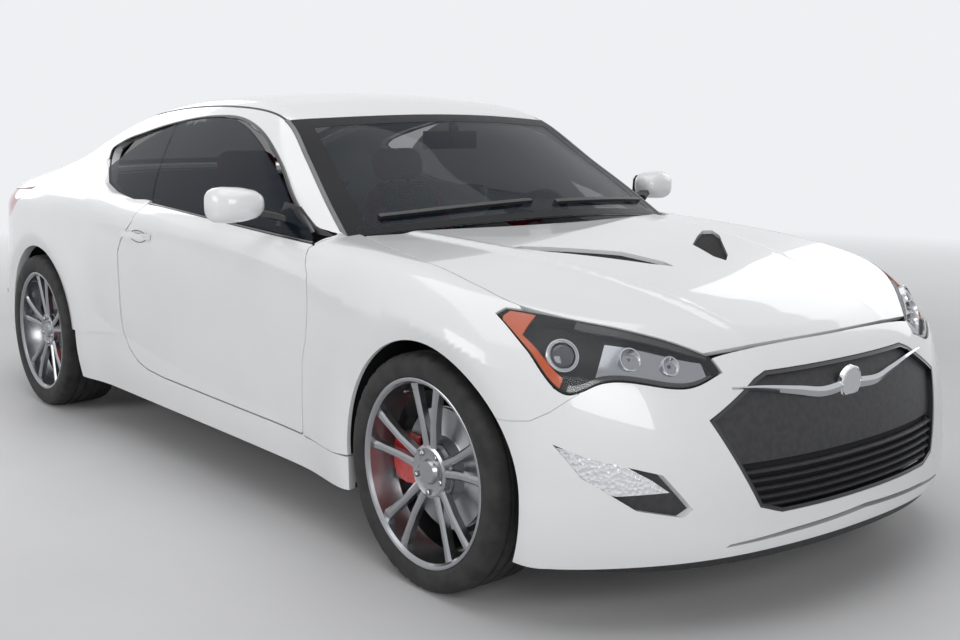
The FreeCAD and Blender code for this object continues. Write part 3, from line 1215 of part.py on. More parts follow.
slat_faces = [bar(SLAT_HALF, SLAT_LOW + SIZE["grille_slat_pitch"] * i, SIZE["grille_slat_height"])
              for i in range(SLATS)]
slat_faces.append(bar(WING_HALF, WING_LOW, WING_HEIGHT))
plate = panel([grille_net], PLATE_THICKNESS, lower_body, None, PLATE_DEPTH).common(forward_prism(grille_outline))
bars = panel([grille_net], PLATE_DEPTH - BAR_DEPTH + 1, lower_body, None, BAR_DEPTH)
bar_prism = forward_prism(slat_faces[0].fuse(slat_faces[1:]).common(grille_outline))
badge = Part.makeCylinder(SIZE["badge_radius"], BADGE_DEPTH, at((0, BADGE_STATION, BADGE_HEIGHT)),
                          V(0, 1, BADGE_LEAN))
grille = plate.fuse([bars.common(bar_prism), badge])
add_shape("grille", grille)

# Cowl and wipers
add_shape("cowl", panel([cowl_net], SIZE["cowl_thickness"], lower_body, None, SIZE["cowl_depth"]))
WIPERS = [(-600, -40), (60, 640)]
WIPER_STATION, WIPER_BOW, WIPER_SLANT, WIPER_WIDTH, WIPER_THICKNESS = -905, 0.000286, 0.03, 14, 12.0
WIPER_LIFT = 0.5
blades = []
for x0, x1 in WIPERS:
    spots = [x0 + (x1 - x0) * i / 4 for i in range(5)]
    feet = [(x, WIPER_STATION + WIPER_BOW * x * x + WIPER_SLANT * (x - x0), 985) for x in spots]
    heads = [(x, station + WIPER_WIDTH, z + 8) for x, station, z in feet]
    blades.append(panel([net([feet, heads], 9, 3, (0, 0, 0, 0), cabin)], WIPER_THICKNESS, cabin, None,
                        -WIPER_THICKNESS - WIPER_LIFT))
add_shape("wipers", Part.makeCompound(blades))

# Hood vents
vent_slab = panel([hood_net], 10.0, lower_body, None, 5.0)
vent = vent_slab.common(plan_prism(grown(VENT_OUTLINE, -SIZE["running_gap"]), 700, 1000))
add_shape("hood_vents", both_sides(vent))

# Mirrors and handles
# Sections of the mirror shell across the car: half width, front station, rear station, low and high edge
MIRROR_SECTIONS = [(880, -575, -500, 985, 1042), (900, -592, -484, 966, 1056), (950, -600, -478, 957, 1066),
                   (1000, -592, -476, 954, 1068), (1032, -572, -478, 958, 1063), (1048, -540, -484, 978, 1046)]
MIRROR_POINTS = 16


def mirror_ring(x, front, rear, low, high):
    """Closed smooth section: round in front, flatter at the rear where the mirror glass sits."""
    middle, height = rear - 0.30 * (rear - front), (low + high) / 2
    points = []
    for i in range(MIRROR_POINTS):
        turn = 2 * math.pi * i / MIRROR_POINTS
        c, s = math.cos(turn), math.sin(turn)
        reach = (rear - middle) if c > 0 else (middle - front)
        points.append(at((x, middle + reach * math.copysign(abs(c) ** 0.75, c),
                          height + (high - low) / 2 * math.copysign(abs(s) ** 0.75, s))))
    curve = Part.BSplineCurve()
    curve.interpolate(points, PeriodicFlag=True)
    return Part.Wire(curve.toShape())


mirror_shell = Part.makeLoft([mirror_ring(*section) for section in MIRROR_SECTIONS], True, False)
FOOT_SPAN = (-610, -530)
FOOT_FACES = (828, 843)
ARM_TOP, ARM_END = 992, 925
foot_low = [(station, belt_height(station) + 2 * running) for station in FOOT_SPAN]
mirror_foot = side_prism(foot_low + [(FOOT_SPAN[1], ARM_TOP), (FOOT_SPAN[0], ARM_TOP)], *FOOT_FACES)
mirror_arm = box(FOOT_FACES[0], ARM_END, -600, -535, 972, ARM_TOP)
mirror = mirror_shell.fuse([mirror_foot, mirror_arm])
add_shape("mirror_left", mirror)
add_shape("mirror_right", mirrored(mirror))
HANDLE_FRONT, HANDLE_REAR, HANDLE_LOW, HANDLE_HIGH = 240, 430, 838, 858
GRIP_FRONT, GRIP_REAR, GRIP_FACE, HANDLE_FACE = 275, 395, 924, 940
handle_bed = door_slab(0, COVER, -running)
grip_room = box(880, GRIP_FACE, GRIP_FRONT, GRIP_REAR, HANDLE_LOW - 8, HANDLE_HIGH + 12)
handle = box(880, HANDLE_FACE, HANDLE_FRONT, HANDLE_REAR, HANDLE_LOW, HANDLE_HIGH).cut(grip_room)
handle = largest(handle.cut(handle_bed))
add_shape("handle_left", handle)
add_shape("handle_right", mirrored(handle))

doc.recompute()
for piece in made:
    broken = [flag for flag in piece.State if flag in ("Invalid", "Error")]
    if broken or piece.Shape.isNull() or not piece.Shape.isValid() or piece.Shape.Volume <= 0:
        raise ValueError("%s is not sound: %s" % (piece.Label, piece.State))
for thing in doc.Objects:
    if any(flag in ("Invalid", "Error") for flag in thing.State):
        raise ValueError("%s failed" % thing.Name)
for piece in made:
    piece.Shape.exportStep(os.path.join(PARTS_FOLDER, piece.Label + ".step"))
    print(piece.Label, len(piece.Shape.Solids), round(piece.Shape.Volume / 1e6, 1), len(piece.Shape.Faces))
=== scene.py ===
import bpy
import bmesh
import json
import math
import numpy as np
from mathutils import Matrix, Vector

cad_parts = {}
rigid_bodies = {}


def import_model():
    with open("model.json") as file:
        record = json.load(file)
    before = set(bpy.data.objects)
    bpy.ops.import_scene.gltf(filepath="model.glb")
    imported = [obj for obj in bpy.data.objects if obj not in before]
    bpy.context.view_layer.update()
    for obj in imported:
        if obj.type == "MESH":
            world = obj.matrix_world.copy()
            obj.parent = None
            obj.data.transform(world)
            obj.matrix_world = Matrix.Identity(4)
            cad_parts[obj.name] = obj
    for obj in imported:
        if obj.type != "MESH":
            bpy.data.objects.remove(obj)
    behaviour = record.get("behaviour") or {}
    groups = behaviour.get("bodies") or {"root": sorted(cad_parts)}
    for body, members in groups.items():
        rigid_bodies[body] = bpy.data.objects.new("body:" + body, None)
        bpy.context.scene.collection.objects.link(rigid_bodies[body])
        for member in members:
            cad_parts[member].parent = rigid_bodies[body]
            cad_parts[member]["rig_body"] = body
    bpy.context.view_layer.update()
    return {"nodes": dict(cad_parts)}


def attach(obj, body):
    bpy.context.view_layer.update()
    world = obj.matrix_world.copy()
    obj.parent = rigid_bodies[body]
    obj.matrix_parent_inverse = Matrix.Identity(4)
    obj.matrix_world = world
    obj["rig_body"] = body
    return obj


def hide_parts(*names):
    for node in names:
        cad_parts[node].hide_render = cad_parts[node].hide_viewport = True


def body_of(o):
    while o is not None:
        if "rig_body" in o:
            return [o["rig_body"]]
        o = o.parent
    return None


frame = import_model()
NODES = frame["nodes"]
MM = 0.001
Y_SHIFT = -115.0

# The body's shape, as in the part's source: half widths and heights in millimetres by station.
LOWER_COLUMNS = ("deck", "belt_z", "belt_x", "waist_z", "waist_x", "low_z", "low_x", "sill_z", "sill_x")
LOWER = [
    (-2250, 672, 640, 820, 540, 900, 350, 900, 170, 880),
    (-2050, 718, 690, 840, 590, 905, 350, 905, 175, 882),
    (-1850, 788, 755, 858, 640, 910, 350, 908, 180, 885),
    (-1650, 838, 815, 870, 690, 912, 350, 908, 185, 888),
    (-1410, 883, 862, 874, 730, 910, 350, 902, 190, 888),
    (-1100, 918, 893, 874, 760, 903, 350, 896, 195, 885),
    (-850, 942, 908, 870, 800, 899, 350, 893, 200, 884),
    (-400, 955, 930, 866, 845, 902, 350, 895, 205, 884),
    (0, 968, 950, 864, 870, 905, 350, 897, 205, 885),
    (450, 985, 972, 860, 890, 906, 350, 899, 205, 886),
    (900, 1000, 988, 852, 890, 908, 370, 904, 205, 888),
    (1250, 1022, 996, 842, 880, 911, 390, 910, 210, 888),
    (1410, 1036, 998, 836, 875, 911, 400, 911, 215, 888),
    (1700, 1050, 998, 822, 865, 905, 400, 905, 225, 880),
    (2050, 1046, 992, 800, 855, 892, 400, 896, 240, 868),
    (2450, 1036, 980, 770, 845, 872, 400, 882, 255, 850),
]
UPPER_COLUMNS = ("roof", "sweep", "crown", "glass_x", "rail_x")
UPPER = [
    (-1080, 885, 350, 26, 800, 610),
    (-985, 943, 350, 26, 805, 610),
    (-660, 1128, 340, 26, 812, 608),
    (-340, 1298, 300, 28, 818, 605),
    (-180, 1348, 180, 32, 822, 603),
    (0, 1372, 60, 36, 824, 601),
    (230, 1384, 0, 38, 824, 600),
    (450, 1380, 0, 38, 822, 597),
    (700, 1362, -60, 38, 816, 590),
    (1000, 1316, -160, 36, 800, 572),
    (1300, 1236, -240, 32, 776, 545),
    (1600, 1122, -260, 28, 745, 515),
    (1800, 1040, -260, 24, 715, 495),
    (2000, 950, -260, 20, 690, 480),
]
NOSE = [(120, -2140), (170, -2180), (210, -2196), (300, -2200), (400, -2190), (500, -2168), (580, -2140),
        (660, -2102), (720, -2066), (800, -2005), (950, -1880)]
TAIL = [(200, 2350), (300, 2400), (420, 2425), (560, 2430), (640, 2424), (760, 2392), (900, 2362),
        (1000, 2372), (1080, 2380)]
RAIL_HEIGHT = 1330.0
NOSE_START, TAIL_START = -1500.0, 1650.0
PLAN_SIDE_POWER, PLAN_NOSE_POWER, PLAN_TAIL_POWER = 2.2, 2.7, 2.6
SHOULDER_ROUND, CABIN_ROUND = 90.0, 80.0
FLARE_DEPTH, FLARE_OFFSET, FLARE_INSIDE, FLARE_OUTSIDE = 24.0, 55.0, 70.0, 150.0
FOOT_DROP, LEAST_WIDTH, DECK_REACH, DECK_POWER, GLASS_POWER = 60, 400.0, 1.2, 2.4, 1.25
CABIN_FILLET = [(-900, 8), (300, 8), (900, 120), (1500, 160)]
ARCHES = ((-1425.0, 335.0, 365.0), (1392.0, 345.0, 378.0))


class Curve:
    """Smooth curve through one column of a table, against the table's first column."""

    def __init__(self, rows, column, run_on=False):
        self.xs = np.array([row[0] for row in rows], float)
        self.ys = np.array([row[column] for row in rows], float)
        self.run_on = run_on
        spans = np.diff(self.xs)
        chords = np.diff(self.ys) / spans
        inner = (chords[:-1] * spans[1:] + chords[1:] * spans[:-1]) / (spans[:-1] + spans[1:])
        self.slopes = np.concatenate([chords[:1], inner, chords[-1:]])

    def __call__(self, value):
        value = np.asarray(value, float)
        x = np.clip(value, self.xs[0], self.xs[-1])
        i = np.clip(np.searchsorted(self.xs, x, side="right") - 1, 0, len(self.xs) - 2)
        span = self.xs[i + 1] - self.xs[i]
        t = (x - self.xs[i]) / span
        y = (self.ys[i] * (1 + 2 * t) * (1 - t) ** 2 + self.slopes[i] * span * t * (1 - t) ** 2
             + self.ys[i + 1] * t * t * (3 - 2 * t) + self.slopes[i + 1] * span * t * t * (t - 1))
        if self.run_on:
            y = y + (value - x) * np.where(value < x, self.slopes[0], self.slopes[-1])
        return y


lower_curve = {name: Curve(LOWER, i + 1) for i, name in enumerate(LOWER_COLUMNS)}
upper_curve = {name: Curve(UPPER, i + 1, name == "roof") for i, name in enumerate(UPPER_COLUMNS)}
nose_curve, tail_curve = Curve(NOSE, 1), Curve(TAIL, 1)


def smooth_max(a, b, size):
    overlap = np.maximum(size - np.abs(a - b), 0)
    return np.maximum(a, b) + overlap ** 2 / (4 * size)


def smooth_step(value):
    t = np.clip(value, 0, 1)
    return t * t * (3 - 2 * t)


def half_width(station, z):
    belt_z, belt_x, waist_z, waist_x, low_z, low_x, sill_z, sill_x = [
        lower_curve[name](station) for name in LOWER_COLUMNS[1:]]
    t = np.clip((z - sill_z) / (low_z - sill_z), -1, 1)
    foot = sill_x + (low_x - sill_x) * np.sin(np.maximum(t, 0) * math.pi / 2) + np.minimum(t, 0) * FOOT_DROP
    middle = low_x + (waist_x - low_x) * smooth_step((z - low_z) / (waist_z - low_z))
    above = np.maximum((z - waist_z) / (belt_z - waist_z), 0)
    upper = waist_x - (waist_x - belt_x) * above ** 2
    width = np.where(z < low_z, foot, np.where(z < waist_z, middle, upper))
    for centre, height, radius in ARCHES:
        past = np.hypot(station - centre, z - height) - radius - FLARE_OFFSET
        past = past / np.where(past > 0, FLARE_OUTSIDE, FLARE_INSIDE)
        width = width + FLARE_DEPTH * np.exp(-past * past) * np.clip((belt_z - z) / 120, 0, 1)
    return np.maximum(width, LEAST_WIDTH)


def lower_body(point):
    side, station, z = np.abs(point[..., 0]), point[..., 1], point[..., 2]
    width = half_width(station, z)
    nose = np.maximum((NOSE_START - station) / (NOSE_START - nose_curve(z)), 0)
    tail = np.maximum((station - TAIL_START) / (tail_curve(z) - TAIL_START), 0)
    reach = (side / width) ** PLAN_SIDE_POWER + nose ** PLAN_NOSE_POWER + tail ** PLAN_TAIL_POWER
    flank = width * (reach ** (1 / PLAN_SIDE_POWER) - 1)
    deck = lower_curve["deck"](station)
    drop = deck - lower_curve["belt_z"](station)
    top = z - deck + drop * np.minimum(side / lower_curve["belt_x"](station), DECK_REACH) ** DECK_POWER
    return smooth_max(flank, top, SHOULDER_ROUND)


def cabin(point):
    side, station, z = np.abs(point[..., 0]), point[..., 1], point[..., 2]
    line = station - upper_curve["sweep"](station) * (side / 1000) ** 2
    top = z - upper_curve["roof"](line) + upper_curve["crown"](station) * (side / 600) ** 2
    belt_z = lower_curve["belt_z"](station)
    t = np.clip((z - belt_z) / (RAIL_HEIGHT - belt_z), -0.3, 1.2)
    glass_x = upper_curve["glass_x"](station)
    lean = glass_x - upper_curve["rail_x"](station)
    glass = side - glass_x + lean * np.sign(t) * np.abs(t) ** GLASS_POWER
    return smooth_max(glass, top, CABIN_ROUND)


def whole_body(point):
    size = np.interp(point[..., 1], [row[0] for row in CABIN_FILLET], [row[1] for row in CABIN_FILLET])
    return -smooth_max(-lower_body(point), -cabin(point), size)


# Creases pressed into the skin: station and height of each line
FRONT_FOLD = Curve([(-1300, 738), (-1206, 746), (-837, 800), (-300, 868), (154, 918), (400, 944)], 1)
REAR_FOLD = Curve([(380, 872), (462, 880), (640, 908), (823, 931), (1100, 955), (1500, 972)], 1)
LOW_FOLD = Curve([(-700, 345), (0, 372), (500, 430), (900, 520)], 1)
HOOD_EDGE = Curve([(-2080, 300), (-1900, 335), (-1500, 430), (-1200, 500), (-950, 560)], 1)
# Line, height of the crease, its width, and the stations where it starts and stops
FOLDS = [(FRONT_FOLD, 4.5, 75, -1260, 420), (REAR_FOLD, 5.0, 80, 380, 1520), (LOW_FOLD, -5.0, 110, -760, 900)]


def ridge(distance, height, width):
    return height * np.maximum(1 - np.abs(distance) / width, 0) ** 1.6


def run_out(station, start, end, fade=160.0):
    return smooth_step((station - start) / fade) * smooth_step((end - station) / fade)


def pressing(point):
    """How far the skin stands proud of the plain body, for its creases."""
    side, station, z = np.abs(point[..., 0]), point[..., 1], point[..., 2]
    flank = smooth_step((side - 780) / 60)
    fold = sum(ridge(z - line(station), height, width) * run_out(station, start, end)
               for line, height, width, start, end in FOLDS)
    edge = HOOD_EDGE(station) - side
    dome = 7.0 * smooth_step((edge + 22) / 44) + ridge(edge, 2.5, 40)
    dome *= run_out(station, -2075, -800, 120) * smooth_step((z - 640) / 60) * (side < 700)
    return fold * flank + dome


def pressed(shape):
    return lambda point: shape(point) - pressing(point)


def slope(shape, point, step):
    parts = []
    for axis in range(3):
        shift = np.zeros(3)
        shift[axis] = step
        parts.append((shape(point + shift) - shape(point - shift)) / (2 * step))
    return np.stack(parts, -1)


def snap(point, shape):
    point = np.array(point, float)
    for turn in range(8):
        value = shape(point)
        grad = slope(shape, point, 1.0)
        point = point - grad * (value / (grad ** 2).sum(-1))[..., None]
    return point


def normal(point, shape):
    grad = slope(shape, point, 2.0)
    return grad / np.linalg.norm(grad, axis=-1)[..., None]


def row_frame(point):
    point = np.array(point, float)
    point[..., 1] += Y_SHIFT
    return point * MM


# Grids of points on the body
def lengths_of(line):
    """Distance along a line, at each of its points."""
    steps = np.linalg.norm(np.diff(np.array(line, float), axis=0), axis=1)
    return np.concatenate([[0.0], np.cumsum(steps)])


def stretch(line, count, start=0.0, end=0.0):
    """Evenly spaced points on the smooth curve through a line, from start to short of its end."""
    lengths = lengths_of(line)
    rows = np.column_stack([lengths, line])
    spots = np.linspace(start, lengths[-1] - end, count)
    return np.stack([Curve(rows, axis)(spots) for axis in (1, 2, 3)], -1)


def portion(line, first, last, count=25):
    lengths = lengths_of(line)
    return stretch(line, count, lengths[first], lengths[-1] - lengths[last])


def mirror_line(line):
    return np.array(line, float) * (-1, 1, 1)


def net(lines, along_count, across_count, trims=(0, 0, 0, 0), shape=whole_body):
    start, end, first, last = trims
    rails = [stretch(line, along_count, start, end) for line in lines]
    width = sum(np.linalg.norm(b - a, axis=1) for a, b in zip(rails, rails[1:]))[:, None]
    t = first / width + (1 - (first + last) / width) * np.linspace(0, 1, across_count)[None, :]
    if len(rails) == 2:
        weights = (1 - t, t)
    else:
        weights = ((1 - t) * (1 - 2 * t), 4 * t * (1 - t), t * (2 * t - 1))
    rough = sum(w[..., None] * rail[:, None, :] for w, rail in zip(weights, rails))
    return snap(rough, shape)


def patch(low, high, start, end, count_along, count_across, shape):
    """Four-sided patch: two long edges and two short ones, all starting at the low-start corner's side."""
    low, high = stretch(low, count_along), stretch(high, count_along)
    start, end = stretch(start, count_across), stretch(end, count_across)
    u = np.linspace(0, 1, count_along)[:, None, None]
    v = np.linspace(0, 1, count_across)[None, :, None]
    edges = (1 - v) * low[:, None] + v * high[:, None] + (1 - u) * start[None] + u * end[None]
    corners = (1 - v) * ((1 - u) * low[0] + u * low[-1]) + v * ((1 - u) * high[0] + u * high[-1])
    return snap(edges - corners, shape)


def ring_of(count_along, count_across):
    """Border of a grid as index pairs, in order."""
    ring = [(i, 0) for i in range(count_along)]
    ring += [(count_along - 1, j) for j in range(1, count_across)]
    ring += [(i, count_across - 1) for i in range(count_along - 2, -1, -1)]
    ring += [(0, j) for j in range(count_across - 2, 0, -1)]
    return np.array(ring)


def quads_of(count_along, count_across):
    index = np.arange(count_along * count_across).reshape(count_along, count_across)
    return np.stack([index[:-1, :-1], index[1:, :-1], index[1:, 1:], index[:-1, 1:]], -1).reshape(-1, 4)


def outward(grid, normals):
    """Direction out of the grid, in the surface, at each border point."""
    ring = ring_of(*grid.shape[:2])
    spots, out = grid[ring[:, 0], ring[:, 1]], normals[ring[:, 0], ring[:, 1]]
    before, after = spots - np.roll(spots, 1, 0), np.roll(spots, -1, 0) - spots
    before /= np.maximum(np.linalg.norm(before, axis=1), 1e-9)[:, None]
    after /= np.maximum(np.linalg.norm(after, axis=1), 1e-9)[:, None]
    side_a, side_b = np.cross(before, out), np.cross(after, out)
    side = side_a + side_b
    inner_i = np.clip(ring[:, 0], 1, grid.shape[0] - 2)
    inner_j = np.clip(ring[:, 1], 1, grid.shape[1] - 2)
    away = spots - grid[inner_i, inner_j]
    if (side * away).sum() < 0:
        side = -side
    size = np.maximum((side ** 2).sum(1) / 2, 0.7)
    return ring, side / np.linalg.norm(side, axis=1)[:, None], np.minimum(1 / np.sqrt(size / 2), 1.5)


def inset(grid, shape, amount):
    ring, side, reach = outward(grid, normal(grid, shape))
    grid = grid.copy()
    grid[ring[:, 0], ring[:, 1]] -= side * (amount * reach)[:, None]
    return snap(grid, shape)


MESH_SIDES = {"left": 1, "right": -1}
ROLL_ANGLES = (30, 60, 90)


def reworked(mesh, change):
    """The mesh after one change to its editable form."""
    work = bmesh.new()
    work.from_mesh(mesh)
    change(work)
    work.to_mesh(mesh)
    work.free()
    return mesh


def drop_loose(work):
    bmesh.ops.delete(work, geom=[v for v in work.verts if not v.link_faces], context="VERTS")


def face_outwards(work):
    bmesh.ops.recalc_face_normals(work, faces=work.faces)


def values_of(items, name, width=3):
    """One attribute of all the vertices, faces or loops of a mesh, as rows of numbers."""
    values = np.zeros(len(items) * width)
    items.foreach_get(name, values)
    return values.reshape(-1, width)


def smooth_all(mesh):
    mesh.polygons.foreach_set("use_smooth", np.ones(len(mesh.polygons), bool))


class Builder:
    """Collects vertices, faces and vertex normals of one piece, in millimetres of the design frame."""

    def __init__(self):
        self.points, self.normals, self.faces, self.count = [], [], [], 0

    def add(self, points, normals, faces):
        self.points.append(points)
        self.normals.append(normals)
        self.faces.append(np.array(faces) + self.count)
        self.count += len(points)

    def skin(self, grid, shape, thickness, roll=1.6, side=1):
        """Closed panel of one thickness under a grid, with a rolled edge all round."""
        count_along, count_across = grid.shape[:2]
        out = normal(grid, shape)
        index = np.arange(count_along * count_across).reshape(count_along, count_across)
        quads = quads_of(count_along, count_across)
        corner, ahead, beside = grid[0, 0], grid[1, 0], grid[0, 1]
        if np.dot(np.cross(ahead - corner, beside - corner), out[0, 0]) < 0:
            quads = quads[:, ::-1]
        ring, away, reach = outward(grid, out)
        border_points = grid[ring[:, 0], ring[:, 1]]
        border_normals = out[ring[:, 0], ring[:, 1]]
        total = len(ring)
        points, normals, faces = [grid.reshape(-1, 3)], [out.reshape(-1, 3)], [quads]
        previous = index[ring[:, 0], ring[:, 1]]
        start = count_along * count_across
        for turn in np.radians(ROLL_ANGLES):
            points.append(border_points - border_normals * roll * (1 - math.cos(turn))
                          + away * roll * math.sin(turn))
            normals.append(border_normals * math.cos(turn) + away * math.sin(turn))
            here = start + np.arange(total)
            faces.append(self.band(previous, here))
            previous, start = here, start + total
        points.append(border_points - border_normals * thickness + away * roll)
        normals.append(away)
        here = start + np.arange(total)
        faces.append(self.band(previous, here))
        start += total
        inner = grid - out * thickness
        inner[ring[:, 0], ring[:, 1]] = points[-1]
        points.append(inner.reshape(-1, 3))
        normals.append(-out.reshape(-1, 3))
        faces.append(quads[:, ::-1] + start)
        if self.faces_in(points, faces[1], away):
            faces[1:-1] = [band[:, ::-1] for band in faces[1:-1]]
        weld = np.arange(start + count_along * count_across)
        weld[start + index[ring[:, 0], ring[:, 1]]] = here
        points, normals = np.concatenate(points), np.concatenate(normals)
        faces = weld[np.concatenate(faces)]
        if side < 0:
            points, normals, faces = points * (-1, 1, 1), normals * (-1, 1, 1), faces[:, ::-1]
        self.add(points, normals, faces)

    @staticmethod
    def band(first, second):
        return np.stack([first, np.roll(first, -1), np.roll(second, -1), second], -1)

    @staticmethod
    def faces_in(points, quads, away):
        corners = np.concatenate(points)[quads]
        face_normals = np.cross(corners[:, 1] - corners[:, 0], corners[:, 3] - corners[:, 0])
        return (face_normals * away).sum() < 0

    def finish(self, name, body, material, slot=None, replaces=()):
        points = row_frame(np.concatenate(self.points))
        faces = np.concatenate(self.faces)
        mesh = bpy.data.meshes.new(name)
        mesh.from_pydata(points.tolist(), [], faces.tolist())
        normals = np.concatenate(self.normals)
        normals = normals / np.maximum(np.linalg.norm(normals, axis=1), 1e-9)[:, None]
        smooth_all(mesh)
        mesh.normals_split_custom_set_from_vertices(normals.tolist())
        reworked(mesh, drop_loose)
        return place(name, mesh, body, material, replaces)


def place(name, mesh, body, material, replaces=()):
    mesh.name = name
    piece = bpy.data.objects.new(name, mesh)
    bpy.context.scene.collection.objects.link(piece)
    if material is not None:
        mesh.materials.append(material)
    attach(piece, body)
    if replaces:
        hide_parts(*replaces)
    return piece


# Feature lines of the left side, read off the car: half width, station, height.
HOOD_SIDE = [(697, -848, 930), (735, -1001, 909), (777, -1352, 875), (792, -1529, 846), (784, -1660, 815)]
LAMP_TOP = [(784, -1660, 815), (724, -1762, 790), (617, -1868, 762), (522, -1951, 730), (459, -2006, 699)]
HOOD_CENTRE = [(0, -990, 943), (0, -1300, 890), (0, -1650, 838), (0, -1900, 775), (0, -2052, 712)]
LAMP_BOTTOM = [(843, -1652, 797), (836, -1760, 715), (802, -1882, 619), (736, -1924, 645), (523, -2043, 630),
               (436, -2050, 655)]
LAMP_UPPER = [(812, -1656, 808), (724, -1762, 790), (617, -1868, 762), (522, -1951, 730), (445, -2018, 690)]
GLASS_CENTRE = [(0, -970, 950), (0, -760, 1075), (0, -540, 1195), (0, -345, 1296)]
ROOF_CENTRE = [(0, -345, 1296), (0, -60, 1365), (0, 230, 1384), (0, 600, 1372), (0, 950, 1325)]
BACK_CENTRE = [(0, 950, 1325), (0, 1250, 1252), (0, 1550, 1142), (0, 1760, 1060)]
LID_SIDE = [(560, 1752, 1036), (625, 1900, 1028), (645, 2100, 1018), (646, 2262, 995), (640, 2320, 930),
            (636, 2335, 870), (632, 2340, 812)]
LID_CENTRE = [(0, 1790, 1048), (0, 2050, 1046), (0, 2250, 1040), (0, 2350, 1025), (0, 2366, 950),
              (0, 2372, 880), (0, 2385, 812)]
SIDE_TOP = [(738, -814, 940), (700, -650, 1032), (640, -430, 1160), (594, -233, 1262), (594, -60, 1309),
            (597, 150, 1335), (592, 500, 1335), (575, 850, 1290), (548, 1150, 1210), (515, 1450, 1120),
            (505, 1660, 1058), (585, 1750, 1038), (640, 1900, 1030), (655, 2100, 1018), (652, 2262, 995)]
BELT_LINE = [(845, -1050, 905), (850, -850, 912), (850, -400, 932), (848, 0, 953), (845, 450, 975),
             (838, 900, 992), (830, 1250, 1000), (820, 1550, 1003), (812, 1750, 1002)]
TAIL_LAMP_TOP = [(848, 1560, 972), (850, 1740, 955), (812, 2000, 952), (745, 2190, 950), (652, 2300, 948)]
TAIL_LAMP_BOTTOM = [(862, 1575, 965), (912, 1785, 835), (890, 1960, 832), (820, 2150, 828), (650, 2322, 822)]
# Outlines in side view: station, height.
DOOR_FRONT = [(-789, 322), (-790, 420), (-796, 544), (-824, 628), (-836, 720), (-842, 817), (-787, 889)]
DOOR_REAR = [(505, 400), (545, 448), (552, 500), (552, 700), (545, 770), (510, 815), (404, 892), (395, 940)]
DOOR_FOOT = [(-782, 313), (-619, 315), (-204, 320), (200, 326), (341, 336), (430, 357), (505, 400)]
WINDOW_OUTLINE = [(-790, 885), (-690, 905), (-400, 926), (0, 950), (300, 964), (450, 972), (570, 967),
                  (739, 988), (862, 1018), (985, 1110), (1018, 1152), (960, 1180), (766, 1224), (498, 1268),
                  (252, 1288), (-7, 1275), (-222, 1217), (-388, 1128), (-538, 1026), (-700, 925)]
VENT_OUTLINE = [(118, -1604), (112, -1560), (165, -1430), (300, -1335), (412, -1262), (455, -1268),
                (400, -1345), (290, -1450), (180, -1560)]
GRILLE_OUTLINE = [(-310, 648), (310, 648), (352, 634), (512, 548), (398, 322), (330, 300), (-330, 300),
                  (-398, 322), (-512, 548), (-352, 634)]
FOG_OUTLINE = [(842, 500), (790, 470), (640, 425), (575, 335), (600, 318), (700, 340), (800, 420)]
SHUT, SEAM, ROLL = 2.5, 0.6, 1.6

skin_shape, lower_skin = pressed(whole_body), pressed(lower_body)


def three_lines(side_line, centre_line):
    return [mirror_line(side_line), centre_line, side_line]


def halved(shape_at, low, high):
    """Where the surface is, between a value inside the shape and one outside it."""
    for turn in range(28):
        middle = (low + high) / 2
        outside = shape_at(middle) > 0
        high = np.where(outside, middle, high)
        low = np.where(outside, low, middle)
    return low


def across_solve(station, z, shape, low=250.0, high=1000.0):
    """Half width of a shape at stations and heights."""
    station, z = np.broadcast_arrays(np.asarray(station, float), np.asarray(z, float))
    low, high = np.full(z.shape, low), np.full(z.shape, high)
    return halved(lambda x: shape(np.stack([x, station, z], -1)), low, high)


def front_solve(x, z, shape, low=-1300.0, high=-2260.0):
    """Station of the nose's surface at distances from the centre plane and heights."""
    x, z = np.broadcast_arrays(np.asarray(x, float), np.asarray(z, float))
    low, high = np.full(z.shape, low), np.full(z.shape, high)
    return halved(lambda s: shape(np.stack([x, s, z], -1)), low, high)


def on_side(outline, shape=whole_body):
    """Side-view points carried across onto the body."""
    outline = np.array(outline, float)
    return np.column_stack([across_solve(outline[:, 0], outline[:, 1], shape), outline])


def on_front(outline, shape=lower_body):
    outline = np.array(outline, float)
    station = front_solve(outline[:, 0], outline[:, 1], shape)
    return np.column_stack([outline[:, 0], station, outline[:, 1]])


# Materials
def material(name, colour, roughness, metallic=0.0, **more):
    made = bpy.data.materials.new(name)
    made.use_nodes = True
    shader = made.node_tree.nodes["Principled BSDF"]
    shader.inputs["Base Color"].default_value = (*colour, 1.0)
    shader.inputs["Roughness"].default_value = roughness
    shader.inputs["Metallic"].default_value = metallic
    for socket, value in more.items():
        shader.inputs[socket.replace("_", " ")].default_value = value
    return made


def node(made, kind, **values):
    added = made.node_tree.nodes.new(kind)
    for name, value in values.items():
        if name in added.inputs.keys():
            added.inputs[name].default_value = value
        else:
            setattr(added, name, value)
    return added


def link(made, source, output, target, entry):
    made.node_tree.links.new(source.outputs[output], target.inputs[entry])


def shader_of(made):
    return made.node_tree.nodes["Principled BSDF"]


def vary(made, dark, light, scale, low=0.35, high=0.65):
    """Colour that wanders between two tones."""
    coords = node(made, "ShaderNodeTexCoord")
    noise = node(made, "ShaderNodeTexNoise", Scale=scale, Detail=4.0)
    ramp = node(made, "ShaderNodeValToRGB")
    ramp.color_ramp.elements[0].position, ramp.color_ramp.elements[1].position = low, high
    ramp.color_ramp.elements[0].color = (*dark, 1)
    ramp.color_ramp.elements[1].color = (*light, 1)
    link(made, coords, "Object", noise, "Vector")
    link(made, noise, "Fac", ramp, "Fac")
    link(made, ramp, "Color", shader_of(made), "Base Color")


